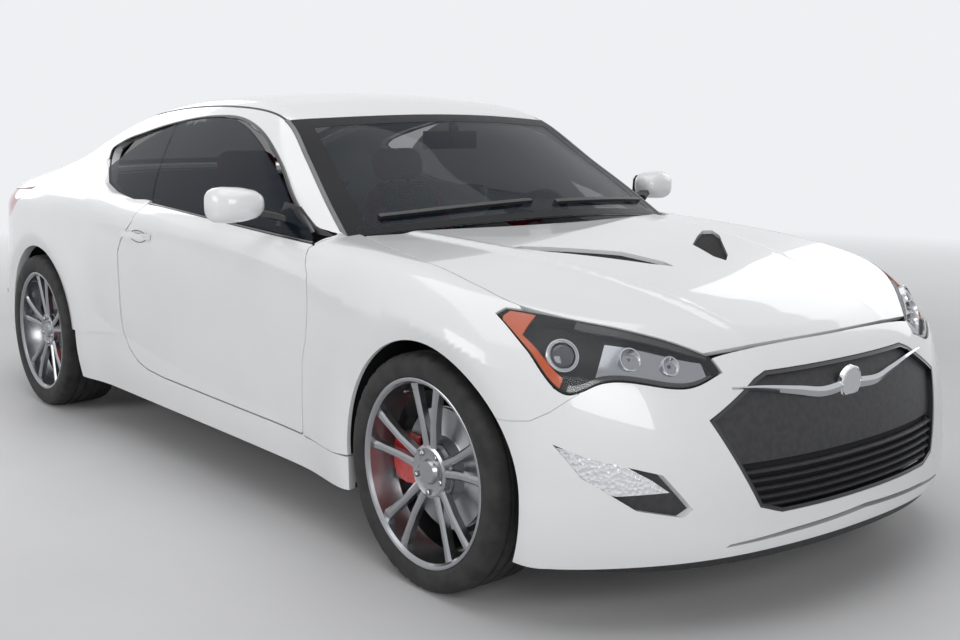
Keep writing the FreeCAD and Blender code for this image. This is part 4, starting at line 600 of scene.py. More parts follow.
def rough_by_noise(made, low, high, scale):
    coords = node(made, "ShaderNodeTexCoord")
    noise = node(made, "ShaderNodeTexNoise", Scale=scale, Detail=5.0)
    span = node(made, "ShaderNodeMapRange")
    span.inputs["To Min"].default_value, span.inputs["To Max"].default_value = low, high
    link(made, coords, "Object", noise, "Vector")
    link(made, noise, "Fac", span, "Value")
    link(made, span, "Result", shader_of(made), "Roughness")


def bump(made, scale, strength, distance, kind="ShaderNodeTexNoise"):
    coords = node(made, "ShaderNodeTexCoord")
    texture = node(made, kind, Scale=scale)
    relief = node(made, "ShaderNodeBump", Strength=strength, Distance=distance)
    link(made, coords, "Object", texture, "Vector")
    output = "Distance" if kind == CELLS else 0
    link(made, texture, output, relief, "Height")
    link(made, relief, "Normal", shader_of(made), "Normal")


def finish_of(name, colour, roughness, metallic, more, tones=None, wander=None, relief=None):
    """Material of one row: two tones and their scale, range of roughness and its scale, and a relief."""
    made = material(name, colour, roughness, metallic, **more)
    if tones:
        vary(made, *tones)
    if wander:
        rough_by_noise(made, *wander)
    if relief:
        bump(made, *relief)
    return made


CELLS = "ShaderNodeTexVoronoi"
GRAIN = (420.0, 0.35, 0.0009, CELLS)
COAT = {"Coat_Weight": 1.0}
# Name, colour, roughness, metallic, coat and such, two tones, roughness range, relief
MATERIALS = [
    ("white_paint", (0.84, 0.85, 0.85), 0.32, 0.0, {"Coat_Weight": 1.0, "Coat_Roughness": 0.03},
     ((0.83, 0.84, 0.845), (0.86, 0.865, 0.865), 2.2), None, (900.0, 0.03, 0.0004)),
    ("black_gloss", (0.012, 0.012, 0.013), 0.12, 0.0, {"Coat_Weight": 0.6}, None, (0.08, 0.16, 30.0)),
    ("black_plastic", (0.022, 0.022, 0.024), 0.5, 0.0, {},
     ((0.016, 0.016, 0.018), (0.03, 0.03, 0.032), 60.0), None, (1400.0, 0.25, 0.0006)),
    ("deep_black", (0.006, 0.006, 0.007), 0.85, 0.0, {}, None, None, (200.0, 0.2, 0.001)),
    ("tyre_rubber", (0.018, 0.018, 0.019), 0.78, 0.0, {},
     ((0.012, 0.012, 0.013), (0.03, 0.029, 0.028), 18.0), None, (700.0, 0.35, 0.0007)),
    ("dark_wheel_metal", (0.34, 0.345, 0.36), 0.24, 0.95, {"Coat_Weight": 0.5, "Coat_Roughness": 0.08},
     None, (0.18, 0.30, 25.0)),
    ("chrome_trim", (0.78, 0.79, 0.80), 0.07, 1.0, {}, None, (0.04, 0.10, 20.0)),
    ("dark_chrome", (0.32, 0.33, 0.35), 0.12, 1.0, {}, None, (0.08, 0.17, 20.0)),
    ("machined_steel", (0.42, 0.42, 0.43), 0.34, 1.0, {}, None, (0.25, 0.45, 60.0)),
    ("cast_metal", (0.12, 0.12, 0.125), 0.6, 0.7, {},
     ((0.08, 0.08, 0.085), (0.17, 0.165, 0.16), 30.0), None, (300.0, 0.4, 0.001)),
    ("caliper_red", (0.55, 0.018, 0.014), 0.3, 0.0, {"Coat_Weight": 0.7}, None, (0.22, 0.36, 80.0)),
    ("red_lens", (0.42, 0.008, 0.010), 0.08, 0.0, COAT, None, (0.05, 0.1, 50.0)),
    ("amber_lens", (0.62, 0.085, 0.002), 0.3, 0.0, {}, None, (0.1, 0.2, 60.0)),
    ("red_leather", (0.35, 0.012, 0.014), 0.48, 0.0, {},
     ((0.28, 0.008, 0.010), (0.42, 0.018, 0.02), 25.0), None, GRAIN),
    ("black_leather", (0.02, 0.02, 0.021), 0.5, 0.0, {},
     ((0.014, 0.014, 0.015), (0.032, 0.031, 0.031), 25.0), None, GRAIN),
    ("floor_carpet", (0.025, 0.025, 0.027), 0.95, 0.0, {},
     ((0.015, 0.015, 0.016), (0.04, 0.04, 0.042), 400.0)),
    ("grey_moulding", (0.16, 0.165, 0.17), 0.4, 0.0, {},
     ((0.14, 0.145, 0.15), (0.18, 0.185, 0.19), 12.0)),
    ("glass_band", (0.008, 0.008, 0.009), 0.4, 0.0, {"Specular_IOR_Level": 0.12}, None, (0.35, 0.5, 30.0)),
    ("fluted_reflector", (0.72, 0.73, 0.75), 0.12, 1.0, {}, None, None, (90.0, 0.5, 0.003, CELLS)),
    ("vent_mesh", (0.01, 0.01, 0.011), 0.7, 0.0, {"Specular_IOR_Level": 0.1},
     ((0.004, 0.004, 0.004), (0.05, 0.05, 0.052), 320.0, 0.48, 0.56), None, (320.0, 0.8, 0.003, CELLS)),
    # White of the fog lamps' small lights: a painted glint colour
    ("led_painted_glint_white", (0.85, 0.87, 0.90), 0.2, 0.0, COAT, None, (0.15, 0.25, 60.0)),
    ("silver_reflector", (0.55, 0.56, 0.58), 0.16, 1.0, {}, None, (0.12, 0.22, 25.0)),
    ("projector_glass", (0.03, 0.035, 0.05), 0.03, 0.0, COAT, None, (0.02, 0.05, 20.0)),
    ("mirror_face", (0.55, 0.57, 0.60), 0.03, 1.0, {}, None, (0.02, 0.04, 10.0)),
]
(PAINT, BLACK_GLOSS, BLACK_PLASTIC, DEEP_BLACK, RUBBER, RIM_METAL, CHROME, DARK_CHROME, STEEL, CAST,
 CALIPER_RED, RED_LENS, AMBER, RED_LEATHER, BLACK_LEATHER, CARPET, GREY_TRIM, GLASS_BAND, FLUTED, VENT_MESH,
 LED_GLINT_WHITE, SILVER, LENS_BLUE, MIRROR_FACE) = [finish_of(*row) for row in MATERIALS]


def glass(name, colour, alpha, **more):
    """Tinted see-through sheet: a dark coat of the tint that lets part of the light straight through."""
    made = material(name, colour, 0.01, Alpha=alpha, IOR=1.5, **more)
    rough_by_noise(made, 0.01, 0.04, 8.0)
    return made


WINDOW_GLASS = glass("window_glass", (0.010, 0.016, 0.026), 0.66, Specular_IOR_Level=0.16)
SCREEN_GLASS = glass("screen_glass", (0.010, 0.018, 0.028), 0.52, Specular_IOR_Level=0.16)
CLEAR_LENS = glass("clear_lens", (0.30, 0.32, 0.34), 0.06, Coat_Weight=1.0)


# Outer panels
def grown(outline, amount):
    """Outline moved outwards all round, or inwards when the amount is negative."""
    spots = np.array(outline, float)
    before, after = spots - np.roll(spots, 1, 0), np.roll(spots, -1, 0) - spots
    following = np.roll(spots, -1, 0)
    turn = np.sign((spots[:, 0] * following[:, 1] - following[:, 0] * spots[:, 1]).sum())
    before /= np.linalg.norm(before, axis=1)[:, None]
    after /= np.linalg.norm(after, axis=1)[:, None]
    out = np.column_stack([before[:, 1] + after[:, 1], -before[:, 0] - after[:, 0]]) * turn
    size = np.maximum((out ** 2).sum(1) / 2, 0.2)
    return spots + out * (amount / size)[:, None]


def prism(corners, direction):
    """Closed prism over a loop of 3-D corners, in the design frame."""
    corners = np.array(corners, float)
    count = len(corners)
    points = row_frame(np.concatenate([corners, corners + np.array(direction, float)]))
    mesh = bpy.data.meshes.new("cutter")
    faces = [tuple(range(count)), tuple(range(2 * count - 1, count - 1, -1))]
    faces += [(i, i + count, (i + 1) % count + count, (i + 1) % count) for i in range(count)]
    mesh.from_pydata(points.tolist(), [], faces)
    return bpy.data.objects.new("cutter", reworked(mesh, face_outwards))


def side_prism(outline, x0=400.0, x1=1200.0):
    outline = np.array(outline, float)
    return prism(np.column_stack([np.full(len(outline), x0), outline]), (x1 - x0, 0, 0))


def front_prism(outline, s0=-2500.0, s1=-1300.0):
    outline = np.array(outline, float)
    corners = np.column_stack([outline[:, 0], np.full(len(outline), s0), outline[:, 1]])
    return prism(corners, (0, s1 - s0, 0))


def top_prism(outline, z0=500.0, z1=1300.0):
    outline = np.array(outline, float)
    corners = np.column_stack([outline, np.full(len(outline), z0)])
    return prism(corners, (0, 0, z1 - z0))


def carve(mesh, cutters, operation="DIFFERENCE"):
    """New mesh: the given one with each cutter taken away, or with only what lies in the cutter kept."""
    base = bpy.data.objects.new("carved", mesh)
    scene = bpy.context.scene
    scene.collection.objects.link(base)
    for cutter in cutters:
        scene.collection.objects.link(cutter)
        step = base.modifiers.new("cut", "BOOLEAN")
        step.object, step.operation, step.solver = cutter, operation, "EXACT"
    made = bpy.data.meshes.new_from_object(base.evaluated_get(bpy.context.evaluated_depsgraph_get()))
    for cutter in cutters:
        bpy.data.objects.remove(cutter)
    bpy.data.objects.remove(base)
    return made


def shade_on(mesh, shape, reach=0.4, smooth_angle=40.0):
    """Vertex normals from the body's own shape where a face lies on it, and flat elsewhere."""
    points = values_of(mesh.vertices, "co") / MM
    points[:, 1] -= Y_SHIFT
    exact = normal(points, shape)
    off = np.abs(shape(points))
    smooth_all(mesh)
    faces = values_of(mesh.polygons, "normal")
    totals = np.zeros(len(mesh.polygons), int)
    mesh.polygons.foreach_get("loop_total", totals)
    owner = np.repeat(np.arange(len(totals)), totals)
    corners = np.zeros(len(mesh.loops), int)
    mesh.loops.foreach_get("vertex_index", corners)
    along = (exact[corners] * faces[owner]).sum(1)
    on = (off[corners] < reach) & (along > math.cos(math.radians(smooth_angle)))
    normals = np.where(on[:, None], exact[corners], faces[owner])
    mesh.normals_split_custom_set(normals.tolist())


def raw_mesh(builder):
    mesh = bpy.data.meshes.new("raw")
    points = row_frame(np.concatenate(builder.points))
    mesh.from_pydata(points.tolist(), [], np.concatenate(builder.faces).tolist())
    reworked(mesh, drop_loose)
    return reworked(mesh, face_outwards)


def mirrored_mesh(mesh):
    """The mesh joined with its mirror image across the car's centre plane."""
    points = values_of(mesh.vertices, "co")
    count = len(points)
    faces = [list(face.vertices) for face in mesh.polygons]
    flipped = [[v + count for v in reversed(face)] for face in faces]
    whole = bpy.data.meshes.new(mesh.name)
    whole.from_pydata(np.concatenate([points, points * (-1, 1, 1)]).tolist(), [], faces + flipped)
    return whole


def flip_mesh(mesh):
    points = values_of(mesh.vertices, "co") * (-1, 1, 1)
    other = bpy.data.meshes.new(mesh.name)
    other.from_pydata(points.tolist(), [], [list(reversed(face.vertices)) for face in mesh.polygons])
    return other


def shaded(mesh, shape, name, body, made_of, slot=None, replaces=(), reach=0.4):
    """A mesh placed as a piece, with the shape's own normals within reach of the shape."""
    shade_on(mesh, shape, reach)
    return place(name, mesh, body, made_of, replaces)


def pair(mesh, *rest, **more):
    """One side's mesh placed with its mirror image as one piece."""
    return shaded(mirrored_mesh(mesh), *rest, **more)


def panel(name, grid, shape, thickness, body, replaces, side=1):
    builder = Builder()
    builder.skin(grid, shape, thickness, ROLL, side)
    return builder.finish(name, body, PAINT, "body_paint", replaces)


hood_lines = three_lines(HOOD_SIDE + LAMP_TOP[1:], HOOD_CENTRE)
hood_grid = net(hood_lines, 91, 111, (12 + ROLL, SHUT + ROLL, SHUT + ROLL, SHUT + ROLL), lower_skin)
hood_build = Builder()
hood_build.skin(hood_grid, lower_skin, 18.0)
vent_cutters = [top_prism(np.array(VENT_OUTLINE) * (side, 1), 600, 1100) for side in (1, -1)]
hood_mesh = carve(raw_mesh(hood_build), vent_cutters)
shaded(hood_mesh, lower_skin, "hood_skin", "hood", PAINT, "body_paint", ["hood"])

roof_grid = net(three_lines(portion(SIDE_TOP, 3, 7), ROOF_CENTRE), 61, 61, (2.0, 2.0, 3.2, 3.2), cabin)
panel("roof_skin", roof_grid, cabin, 20.0, "body", ["roof_panel"])
lid_grid = net(three_lines(LID_SIDE, LID_CENTRE), 71, 81, (SHUT + ROLL,) * 4, lower_skin)
panel("trunk_lid_skin", lid_grid, lower_skin, 20.0, "trunk_lid", ["trunk_lid"])

belt = snap(stretch(BELT_LINE[:6], 61), lower_body)


def belt_points(stations):
    stations = np.array(stations, float)
    return np.column_stack([np.interp(stations, belt[:, 1], belt[:, axis]) for axis in (0, 1, 2)])


def side_curve(outline, shape, count=40):
    """Side-view line carried onto the body, sampled finely."""
    flat = np.array(outline, float)
    lengths = lengths_of(flat)
    spots = np.linspace(0, lengths[-1], count)
    flat = np.column_stack([np.interp(spots, lengths, flat[:, 0]), np.interp(spots, lengths, flat[:, 1])])
    return on_side(flat, shape)


door_top = belt_points(np.linspace(-787, 395, 40))
door_low = side_curve(DOOR_FOOT, lower_skin)
door_front = np.concatenate([side_curve([DOOR_FOOT[0]] + DOOR_FRONT, lower_skin), door_top[:1]])
door_rear = np.concatenate([side_curve(DOOR_REAR, lower_skin), door_top[-1:]])
door_grid = inset(patch(door_low, door_top, door_front, door_rear, 121, 81, lower_skin), lower_skin, ROLL)
for side_name, side in MESH_SIDES.items():
    door = "door_" + side_name
    panel("door_skin_" + side_name, door_grid, lower_skin, 70.0, door, [door], side)

# Carved panels
FENDER_TOP = [(690, -740, 938), (697, -848, 930), (724, -1001, 911), (758, -1352, 880), (773, -1529, 852),
              (774, -1640, 824), (792, -1720, 782), (798, -1790, 730), (790, -1850, 670), (784, -1900, 618)]
FENDER_BOTTOM = [(893, -740, 310), (893, -800, 310), (890, -1000, 305), (889, -1200, 320), (890, -1400, 380),
                 (895, -1550, 450), (900, -1650, 500), (880, -1790, 520), (826, -1890, 570)]
FENDER_SEAM = [(-1895, 622), (-1852, 577), (-1816, 554), (-1760, 547), (-1690, 546), (-1400, 546)]
FENDER_REGION = FENDER_SEAM + [(-1400, 200), (-794, 200), (-795, 420), (-801, 544), (-829, 628), (-841, 720),
                               (-847, 817), (-792, 889), (-835, 935), (-855, 960), (-1895, 960)]
BUMPER_TOP = [(0, -2056, 706), (200, -2047, 703), (330, -2036, 699), (430, -2024, 690), (530, -2010, 668),
              (640, -1960, 664), (736, -1900, 660), (810, -1850, 640), (870, -1780, 590), (900, -1690, 570)]
LIP_LINE = [(0, -2196, 212), (200, -2185, 211), (330, -2160, 209), (450, -2118, 206), (560, -2062, 203),
            (700, -1965, 196), (790, -1885, 186), (850, -1795, 177), (880, -1685, 173)]
BUMPER_BOTTOM = [(0, -2180, 178), (200, -2165, 178), (330, -2140, 177), (450, -2100, 176), (560, -2045, 175),
                 (700, -1960, 174), (790, -1880, 173), (850, -1790, 172), (880, -1685, 172)]
SHOULDER = [(856, -790, 905)] + BELT_LINE[2:] + [(800, 2000, 995), (770, 2150, 988), (715, 2270, 975)]
QUARTER_BOTTOM = [(893, -850, 425), (897, 0, 432), (902, 530, 439), (905, 975, 403), (908, 1392, 420),
                  (900, 1700, 500), (880, 2000, 560), (800, 2250, 600), (740, 2310, 620)]
REAR_TOP = [(0, 2395, 804), (300, 2380, 804), (560, 2345, 806), (650, 2318, 812), (740, 2262, 816),
            (830, 2140, 820), (890, 1960, 824), (915, 1740, 826)]
REAR_BOTTOM = [(0, 2395, 275), (300, 2385, 275), (560, 2330, 275), (640, 2290, 275), (720, 2220, 275),
               (800, 2110, 275), (850, 1960, 275), (880, 1640, 275)]
REAR_SEAM = [(1786, 1200), (1786, 829), (1790, 700), (1700, 562), (1600, 540), (1600, 150), (2700, 150),
             (2700, 1200)]
REAR_WASTE = [(1786, 829), (1790, 700), (1700, 562), (1600, 540), (1600, 150), (2700, 150), (2700, 829)]
SKIRT_TOP = [(889, -1058, 301), (892, -860, 306), (893, -805, 307), (893, -770, 318), (896, -204, 327),
             (897, 200, 335), (898, 341, 345), (900, 440, 385), (900, 540, 437), (902, 700, 428),
             (903, 975, 401)]
SKIRT_BOTTOM = [(888, -1058, 200), (884, -700, 203), (885, 0, 205), (887, 330, 205), (888, 640, 206),
                (890, 960, 208)]
BELT_TOP = [(-787, 915), (-600, 960), (395, 1010)]
DOOR_OUTLINE = [(-787, 1010)] + DOOR_FRONT[::-1] + DOOR_FOOT + DOOR_REAR[1:] + [(410, 1010)]
SIDE_REGION = [(-900, 1600), (-900, 884), (-785, 884), (-785, 300), (2600, 300), (2600, 1600)]
SHUT_GAP = 5.0


def thick_mesh(grids, shape, above, below):
    """Closed sheet round one grid or several, from above the skin to below it, with square edges."""
    builder = Builder()
    for grid in grids if isinstance(grids, list) else [grids]:
        count_along, count_across = grid.shape[:2]
        count = count_along * count_across
        out = normal(grid, shape)
        ring = ring_of(count_along, count_across)
        edge = ring[:, 0] * count_across + ring[:, 1]
        quads = quads_of(count_along, count_across)
        faces = [quads, quads[:, ::-1] + count, Builder.band(edge, edge + count)]
        points = [(grid + out * above).reshape(-1, 3), (grid - out * below).reshape(-1, 3)]
        builder.add(np.concatenate(points), np.zeros((2 * count, 3)), np.concatenate(faces))
    return raw_mesh(builder)


def cutter_of(mesh, side=1):
    return bpy.data.objects.new("cutter", mesh if side > 0 else flip_mesh(mesh))


def largest_part(mesh):
    """The mesh without the loose slivers that a cut can leave."""
    def drop_slivers(work):
        left, best = set(work.faces), []
        while left:
            start = left.pop()
            island, open_faces = [start], [start]
            while open_faces:
                face = open_faces.pop()
                near = {other for edge in face.edges for other in edge.link_faces} & left
                left -= near
                island += near
                open_faces += near
            if len(island) > len(best):
                best = island
        kept = set(best)
        bmesh.ops.delete(work, geom=[face for face in work.faces if face not in kept], context="FACES")
    return reworked(mesh, drop_slivers)


def circle_outline(arch, count=96):
    centre, height, radius = arch
    turns = np.linspace(0, 2 * math.pi, count, endpoint=False)
    return np.column_stack([centre + radius * np.cos(turns), height + radius * np.sin(turns)])


def on_both(mesh):
    """Cutters of one mesh for the left and the right side."""
    return [cutter_of(mesh), cutter_of(mesh, -1)]


def arch_cutter(arch):
    return side_prism(circle_outline(arch), 480.0, 1100.0)


def arch_pair(arch):
    return on_both(arch_cutter(arch).data)


def full_line(line):
    """A line from the centre plane outwards, joined with its mirror image."""
    return np.concatenate([mirror_line(line)[::-1], np.array(line, float)[1:]])


def room_mesh(lines, trims):
    return thick_mesh(net(lines, 61, 31, trims, lower_body), lower_body, 40.0, 100.0)


LAMP_ROOM = room_mesh([LAMP_UPPER, LAMP_BOTTOM], (0, 0, -SEAM, -2 * SEAM))
HOOD_ROOM = room_mesh(hood_lines, (0, -2.0, -2.0, -2.0))
TAIL_ROOM = room_mesh([TAIL_LAMP_TOP, TAIL_LAMP_BOTTOM], (0, -20.0, -1.5, -1.5))


fender_grid = net([FENDER_TOP, FENDER_BOTTOM], 171, 71, (0, SEAM, SHUT, SEAM), lower_skin)
fender_mesh = carve(thick_mesh(fender_grid, lower_skin, 0, 12.0), [side_prism(FENDER_REGION)], "INTERSECT")
fender_mesh = carve(fender_mesh, [arch_cutter(ARCHES[0]), cutter_of(LAMP_ROOM), cutter_of(HOOD_ROOM)])
pair(largest_part(fender_mesh), lower_skin, "fender_skins", "body", PAINT, "body_paint", ["fenders"])

SLOT_OUTLINE = [(-490, 229), (-300, 240), (0, 252), (300, 240), (490, 229), (480, 236), (300, 252), (0, 265),
                (-300, 252), (-480, 236)]
FENDER_ROOM = side_prism(grown(FENDER_SEAM + [(-1400, 960), (-1895, 960)], 2 * SEAM), 500.0).data
bumper_grid = net([full_line(BUMPER_TOP), full_line(LIP_LINE)], 341, 61, (0, 0, SEAM, 0), lower_body)
bumper_cutters = [front_prism(GRILLE_OUTLINE), front_prism(SLOT_OUTLINE)]
bumper_cutters += on_both(front_prism(FOG_OUTLINE).data) + arch_pair(ARCHES[0]) + on_both(LAMP_ROOM)
bumper_cutters += [cutter_of(HOOD_ROOM)] + on_both(FENDER_ROOM)
bumper_mesh = largest_part(carve(thick_mesh(bumper_grid, lower_body, 0, 20.0), bumper_cutters))
shaded(bumper_mesh, lower_body, "front_bumper_skin", "body", PAINT, "body_paint", ["front_bumper"])
# Black strip set in under the white lip, down to the bumper's bottom line: a painted shadow, a dark sheet
# where the lip only casts shade
underlip_shadow_grid = net([full_line(LIP_LINE), full_line(BUMPER_BOTTOM)], 241, 9, (4, 4, -6, 0), lower_body)
underlip_shadow_grid = underlip_shadow_grid - normal(underlip_shadow_grid, lower_body) * 12.0
underlip_shadow_mesh = carve(thick_mesh(underlip_shadow_grid, lower_body, 0, 8.0), arch_pair(ARCHES[0]))
shaded(underlip_shadow_mesh, lower_body, "front_underlip_painted_shadow", "body", BLACK_PLASTIC, "black_trim", reach=14.0)

upper_rows = net([SIDE_TOP, SHOULDER], 191, 33, (0, SHUT, SEAM, 0), skin_shape)
lower_rows = net([SHOULDER, QUARTER_BOTTOM], 191, 33, (0, SHUT, 0, SEAM), skin_shape)
side_grid = np.concatenate([upper_rows, lower_rows[:, 1:]], 1)
side_mesh = carve(thick_mesh(side_grid, skin_shape, 0, 36.0), [side_prism(SIDE_REGION)], "INTERSECT")
door_opening = [BELT_TOP[0]] + DOOR_OUTLINE[1:-1] + BELT_TOP[:0:-1]
side_mesh = carve(side_mesh, [side_prism(WINDOW_OUTLINE), side_prism(grown(door_opening, SHUT_GAP)),
                              arch_cutter(ARCHES[1]), side_prism(grown(REAR_WASTE, SEAM)),
                              cutter_of(TAIL_ROOM)])
pair(largest_part(side_mesh), skin_shape, "side_frame_skins", "body", PAINT, "body_paint", ["side_frames"])

rear_grid = net([full_line(REAR_TOP), full_line(REAR_BOTTOM)], 321, 57, (0, 0, SEAM, 0), lower_body)
rear_region = side_prism(grown(REAR_SEAM, -SEAM), -1200.0)
rear_mesh = carve(thick_mesh(rear_grid, lower_body, 0, 20.0), [rear_region], "INTERSECT")
rear_mesh = largest_part(carve(rear_mesh, arch_pair(ARCHES[1])))
shaded(rear_mesh, lower_body, "rear_bumper_skin", "body", PAINT, "body_paint", ["rear_bumper"])

skirt_grid = net([SKIRT_TOP, SKIRT_BOTTOM], 161, 25, (0, 0, 0, 0), lower_skin)
skirt_mesh = carve(thick_mesh(skirt_grid, lower_skin, 0, 40.0), [side_prism(grown(DOOR_OUTLINE, SHUT_GAP))])
pair(largest_part(skirt_mesh), lower_skin, "side_skirt_skins", "body", PAINT, "body_paint", ["side_skirts"])


# Small building helpers
def body_for(name):
    return body_of(NODES[name])[0]


def unit(vector):
    vector = np.array(vector, float)
    return vector / np.linalg.norm(vector)


class Parts:
    """Points and faces of one piece made of several closed forms, in the design frame."""

    def __init__(self):
        self.points, self.faces, self.count = [], [], 0

    def add(self, points, faces):
        points = np.array(points, float).reshape(-1, 3)
        self.points.append(points)
        self.faces += [tuple(int(i) + self.count for i in face) for face in faces]
        self.count += len(points)

    def loops(self, rings, closed=False, capped=True):
        """Skin over a row of rings that have the same number of points."""
        rings = np.array(rings, float)
        rows, size = rings.shape[:2]
        faces = []
        for i in range(rows if closed else rows - 1):
            a, b = i * size, (i + 1) % rows * size
            faces += [(a + j, a + (j + 1) % size, b + (j + 1) % size, b + j) for j in range(size)]
        if capped and not closed:
            faces += [tuple(range(size)), tuple(range((rows - 1) * size, rows * size))]
        self.add(rings.reshape(-1, 3), faces)

    def turned(self, profile, centre, axis, count=72):
        """Closed profile of distances along the axis and radii, turned once round."""
        axis = unit(axis)
        across = unit(np.cross(axis, (0.0, 0.0, 1.0) if abs(axis[2]) < 0.9 else (1.0, 0.0, 0.0)))
        other = np.cross(axis, across)
        rings = []
        for turn in np.linspace(0, 2 * math.pi, count, endpoint=False):
            out = across * math.cos(turn) + other * math.sin(turn)
            rings.append([np.array(centre) + axis * a + out * r for a, r in profile])
        self.loops(rings, closed=True)

    def tube(self, line, radius, count=12):
        line = np.array(line, float)
        ways = np.gradient(line, axis=0)
        rings = []
        for spot, way in zip(line, ways):
            way = unit(way)
            across = unit(np.cross(way, (0.0, 0.0, 1.0) if abs(way[2]) < 0.9 else (1.0, 0.0, 0.0)))
            other = np.cross(way, across)
            turns = np.linspace(0, 2 * math.pi, count, endpoint=False)
            rings.append([spot + radius * (across * math.cos(t) + other * math.sin(t)) for t in turns])
        self.loops(rings)

    def strip(self, line, shape, width, rise, sink=2.0, closed=False):
        """Low moulding with bevelled edges along a line that lies on the shape."""
        line = np.array(line, float)
        out = normal(line, shape)
        way = (np.roll(line, -1, 0) - np.roll(line, 1, 0)) if closed else np.gradient(line, axis=0)
        side = np.cross(way, out)
        side /= np.linalg.norm(side, axis=1)[:, None]
        half = width / 2
        section = [(-half, -sink), (-half, rise * 0.5), (-half * 0.7, rise), (half * 0.7, rise),
                   (half, rise * 0.5), (half, -sink)]
        rings = [[spot + s * a + o * b for a, b in section] for spot, s, o in zip(line, side, out)]
        self.loops(rings, closed)

    def mirrored(self):
        points, faces, count = np.concatenate(self.points), list(self.faces), self.count
        self.add(points * (-1, 1, 1), [tuple(reversed(face)) for face in faces])
        return self

    def mesh(self, smooth=38.0):
        mesh = bpy.data.meshes.new("form")
        mesh.from_pydata(row_frame(np.concatenate(self.points)).tolist(), [], self.faces)
        reworked(mesh, face_outwards)
        smooth_all(mesh)
        mesh.set_sharp_from_angle(angle=math.radians(smooth))
        return mesh

    def finish(self, name, body, made_of, slot=None, replaces=(), smooth=38.0):
        return place(name, self.mesh(smooth), body, made_of, replaces)


def layer(grid, shape, depth, thick):
    return thick_mesh(grid, shape, -depth, depth + thick)


def sheets(name, grid, depth, thick, made_of, outline=None, replaces=()):
    """Sheet of one thickness, so deep under the lower body, inside an outline seen from the front."""
    mesh = layer(grid, lower_body, depth, thick)
    if outline is not None:
        mesh = carve(mesh, [front_prism(outline)], "INTERSECT")
    return pair(mesh, lower_body, name, "body", made_of, None, replaces, reach=depth + 0.5)


def share(grid, u0, u1, v0=0.0, v1=1.0):
    rows, columns = grid.shape[0] - 1, grid.shape[1] - 1
    return grid[round(u0 * rows):round(u1 * rows) + 1, round(v0 * columns):round(v1 * columns) + 1]


# Headlamps: clear lens over a dark tub with an amber strip, a projector and two reflector bowls
lamp_grid = net([LAMP_UPPER, LAMP_BOTTOM], 97, 37, (5, 5, 3, 3), lower_body)
sheets("headlamp_lenses", lamp_grid, 0.0, 3.0, CLEAR_LENS, None, ["front_lamps"])
sheets("headlamp_tubs", lamp_grid, 40.0, 3.0, DEEP_BLACK)
ring = ring_of(*lamp_grid.shape[:2])
edge_line = lamp_grid[ring[:, 0], ring[:, 1]]
lamp_out = normal(lamp_grid, lower_body)[ring[:, 0], ring[:, 1]]
walls = Parts()
walls.loops([[spot - n * 3.5, spot - n * 41.0, spot * 0.997 - n * 41.0, spot * 0.997 - n * 3.5]
             for spot, n in zip(edge_line, lamp_out)], closed=True)
walls.mirrored().finish("headlamp_walls", "body", DEEP_BLACK)
# Name, depth, thickness, share of the lamp from its outer end and from its upper edge, material
LAMP_LAYERS = [
    ("headlamp_ambers", 6.0, 4.0, (0.02, 0.15, 0.05, 0.84), AMBER),
    ("headlamp_brows", 6.0, 5.0, (0.34, 0.98, 0.0, 0.16), BLACK_PLASTIC),
    ("headlamp_amber_feet", 5.0, 5.0, (0.03, 0.36, 0.84, 0.98), AMBER),
    ("headlamp_sills", 5.0, 5.0, (0.40, 0.96, 0.90, 0.97), BLACK_GLOSS),
    ("headlamp_plates", 17.0, 5.0, (0.50, 0.95, 0.30, 0.86), DARK_CHROME),
]
for name, depth, thick, spans, made_of in LAMP_LAYERS:
    sheets(name, share(lamp_grid, *spans), depth, thick, made_of)
FORWARD = np.array([0.0, -1.0, 0.0])


def lamp_spot(point, depth):
    """Point under the lamp's lens, and the way that a lamp there looks."""
    spot = snap(np.array(point, float), lower_body)
    out = normal(spot, lower_body)
    return spot - out * depth, unit(out * 0.6 + FORWARD * 0.4)


PROJECTOR = (783, -1837, 714)
BOWLS = [((640, -1925, 690), 27), ((555, -1985, 676), 22)]
bowls, balls = Parts(), Parts()
spot, way = lamp_spot(PROJECTOR, 14)
cup = [(0, 44), (3, 42), (3, 39), (0, 37), (0, 35), (4, 33), (-10, 31), (-22, 31), (-22, 44)]
bowls.turned(cup, spot, way)
dome = [(7.5 * math.cos(t) - 1, max(30 * math.sin(t), 0.4)) for t in np.linspace(0, math.pi / 2, 9)]
balls.turned(dome + [(-20, 30), (-20, 0.4)], spot, way)
for point, radius in BOWLS:
    spot, way = lamp_spot(point, 9)
    back = -0.8 * radius
    bowl = [(0, radius), (-0.3 * radius, radius * 0.8), (-0.7 * radius, radius * 0.4), (back, 1),
            (back - 3, 1), (back - 3, radius), (0, radius + 3)]
    bowls.turned(bowl, spot, way)
    bulb = [(-0.25 * radius, 0.5), (-0.3 * radius, 5), (back, 5), (back, 0.5)]
    balls.turned(bulb, spot, way, 24)
bowls.mirrored().finish("headlamp_reflectors", "body", SILVER)
balls.mirrored().finish("headlamp_projectors", "body", LENS_BLUE)

# Fog lamps: dark pocket, silver reflector plate and a row of small lights, white as painted glints
FOG_LENS = [(838, 492), (742, 468), (659, 411), (623, 380), (732, 374), (812, 392)]
FOG_ROW = ((812, 472), (790, 464), (768, 457), (746, 449), (724, 438), (702, 425), (680, 411), (660, 396))
xs, zs = np.meshgrid(np.linspace(556, 862, 41), np.linspace(300, 515, 31), indexing="ij")
fog_grid = on_front(np.column_stack([xs.ravel(), zs.ravel()])).reshape(41, 31, 3)
sheets("fog_pockets", fog_grid, 21.0, 3.0, BLACK_PLASTIC, grown(FOG_OUTLINE, 5))
sheets("fog_reflectors", fog_grid, 8.0, 6.0, FLUTED, FOG_LENS)
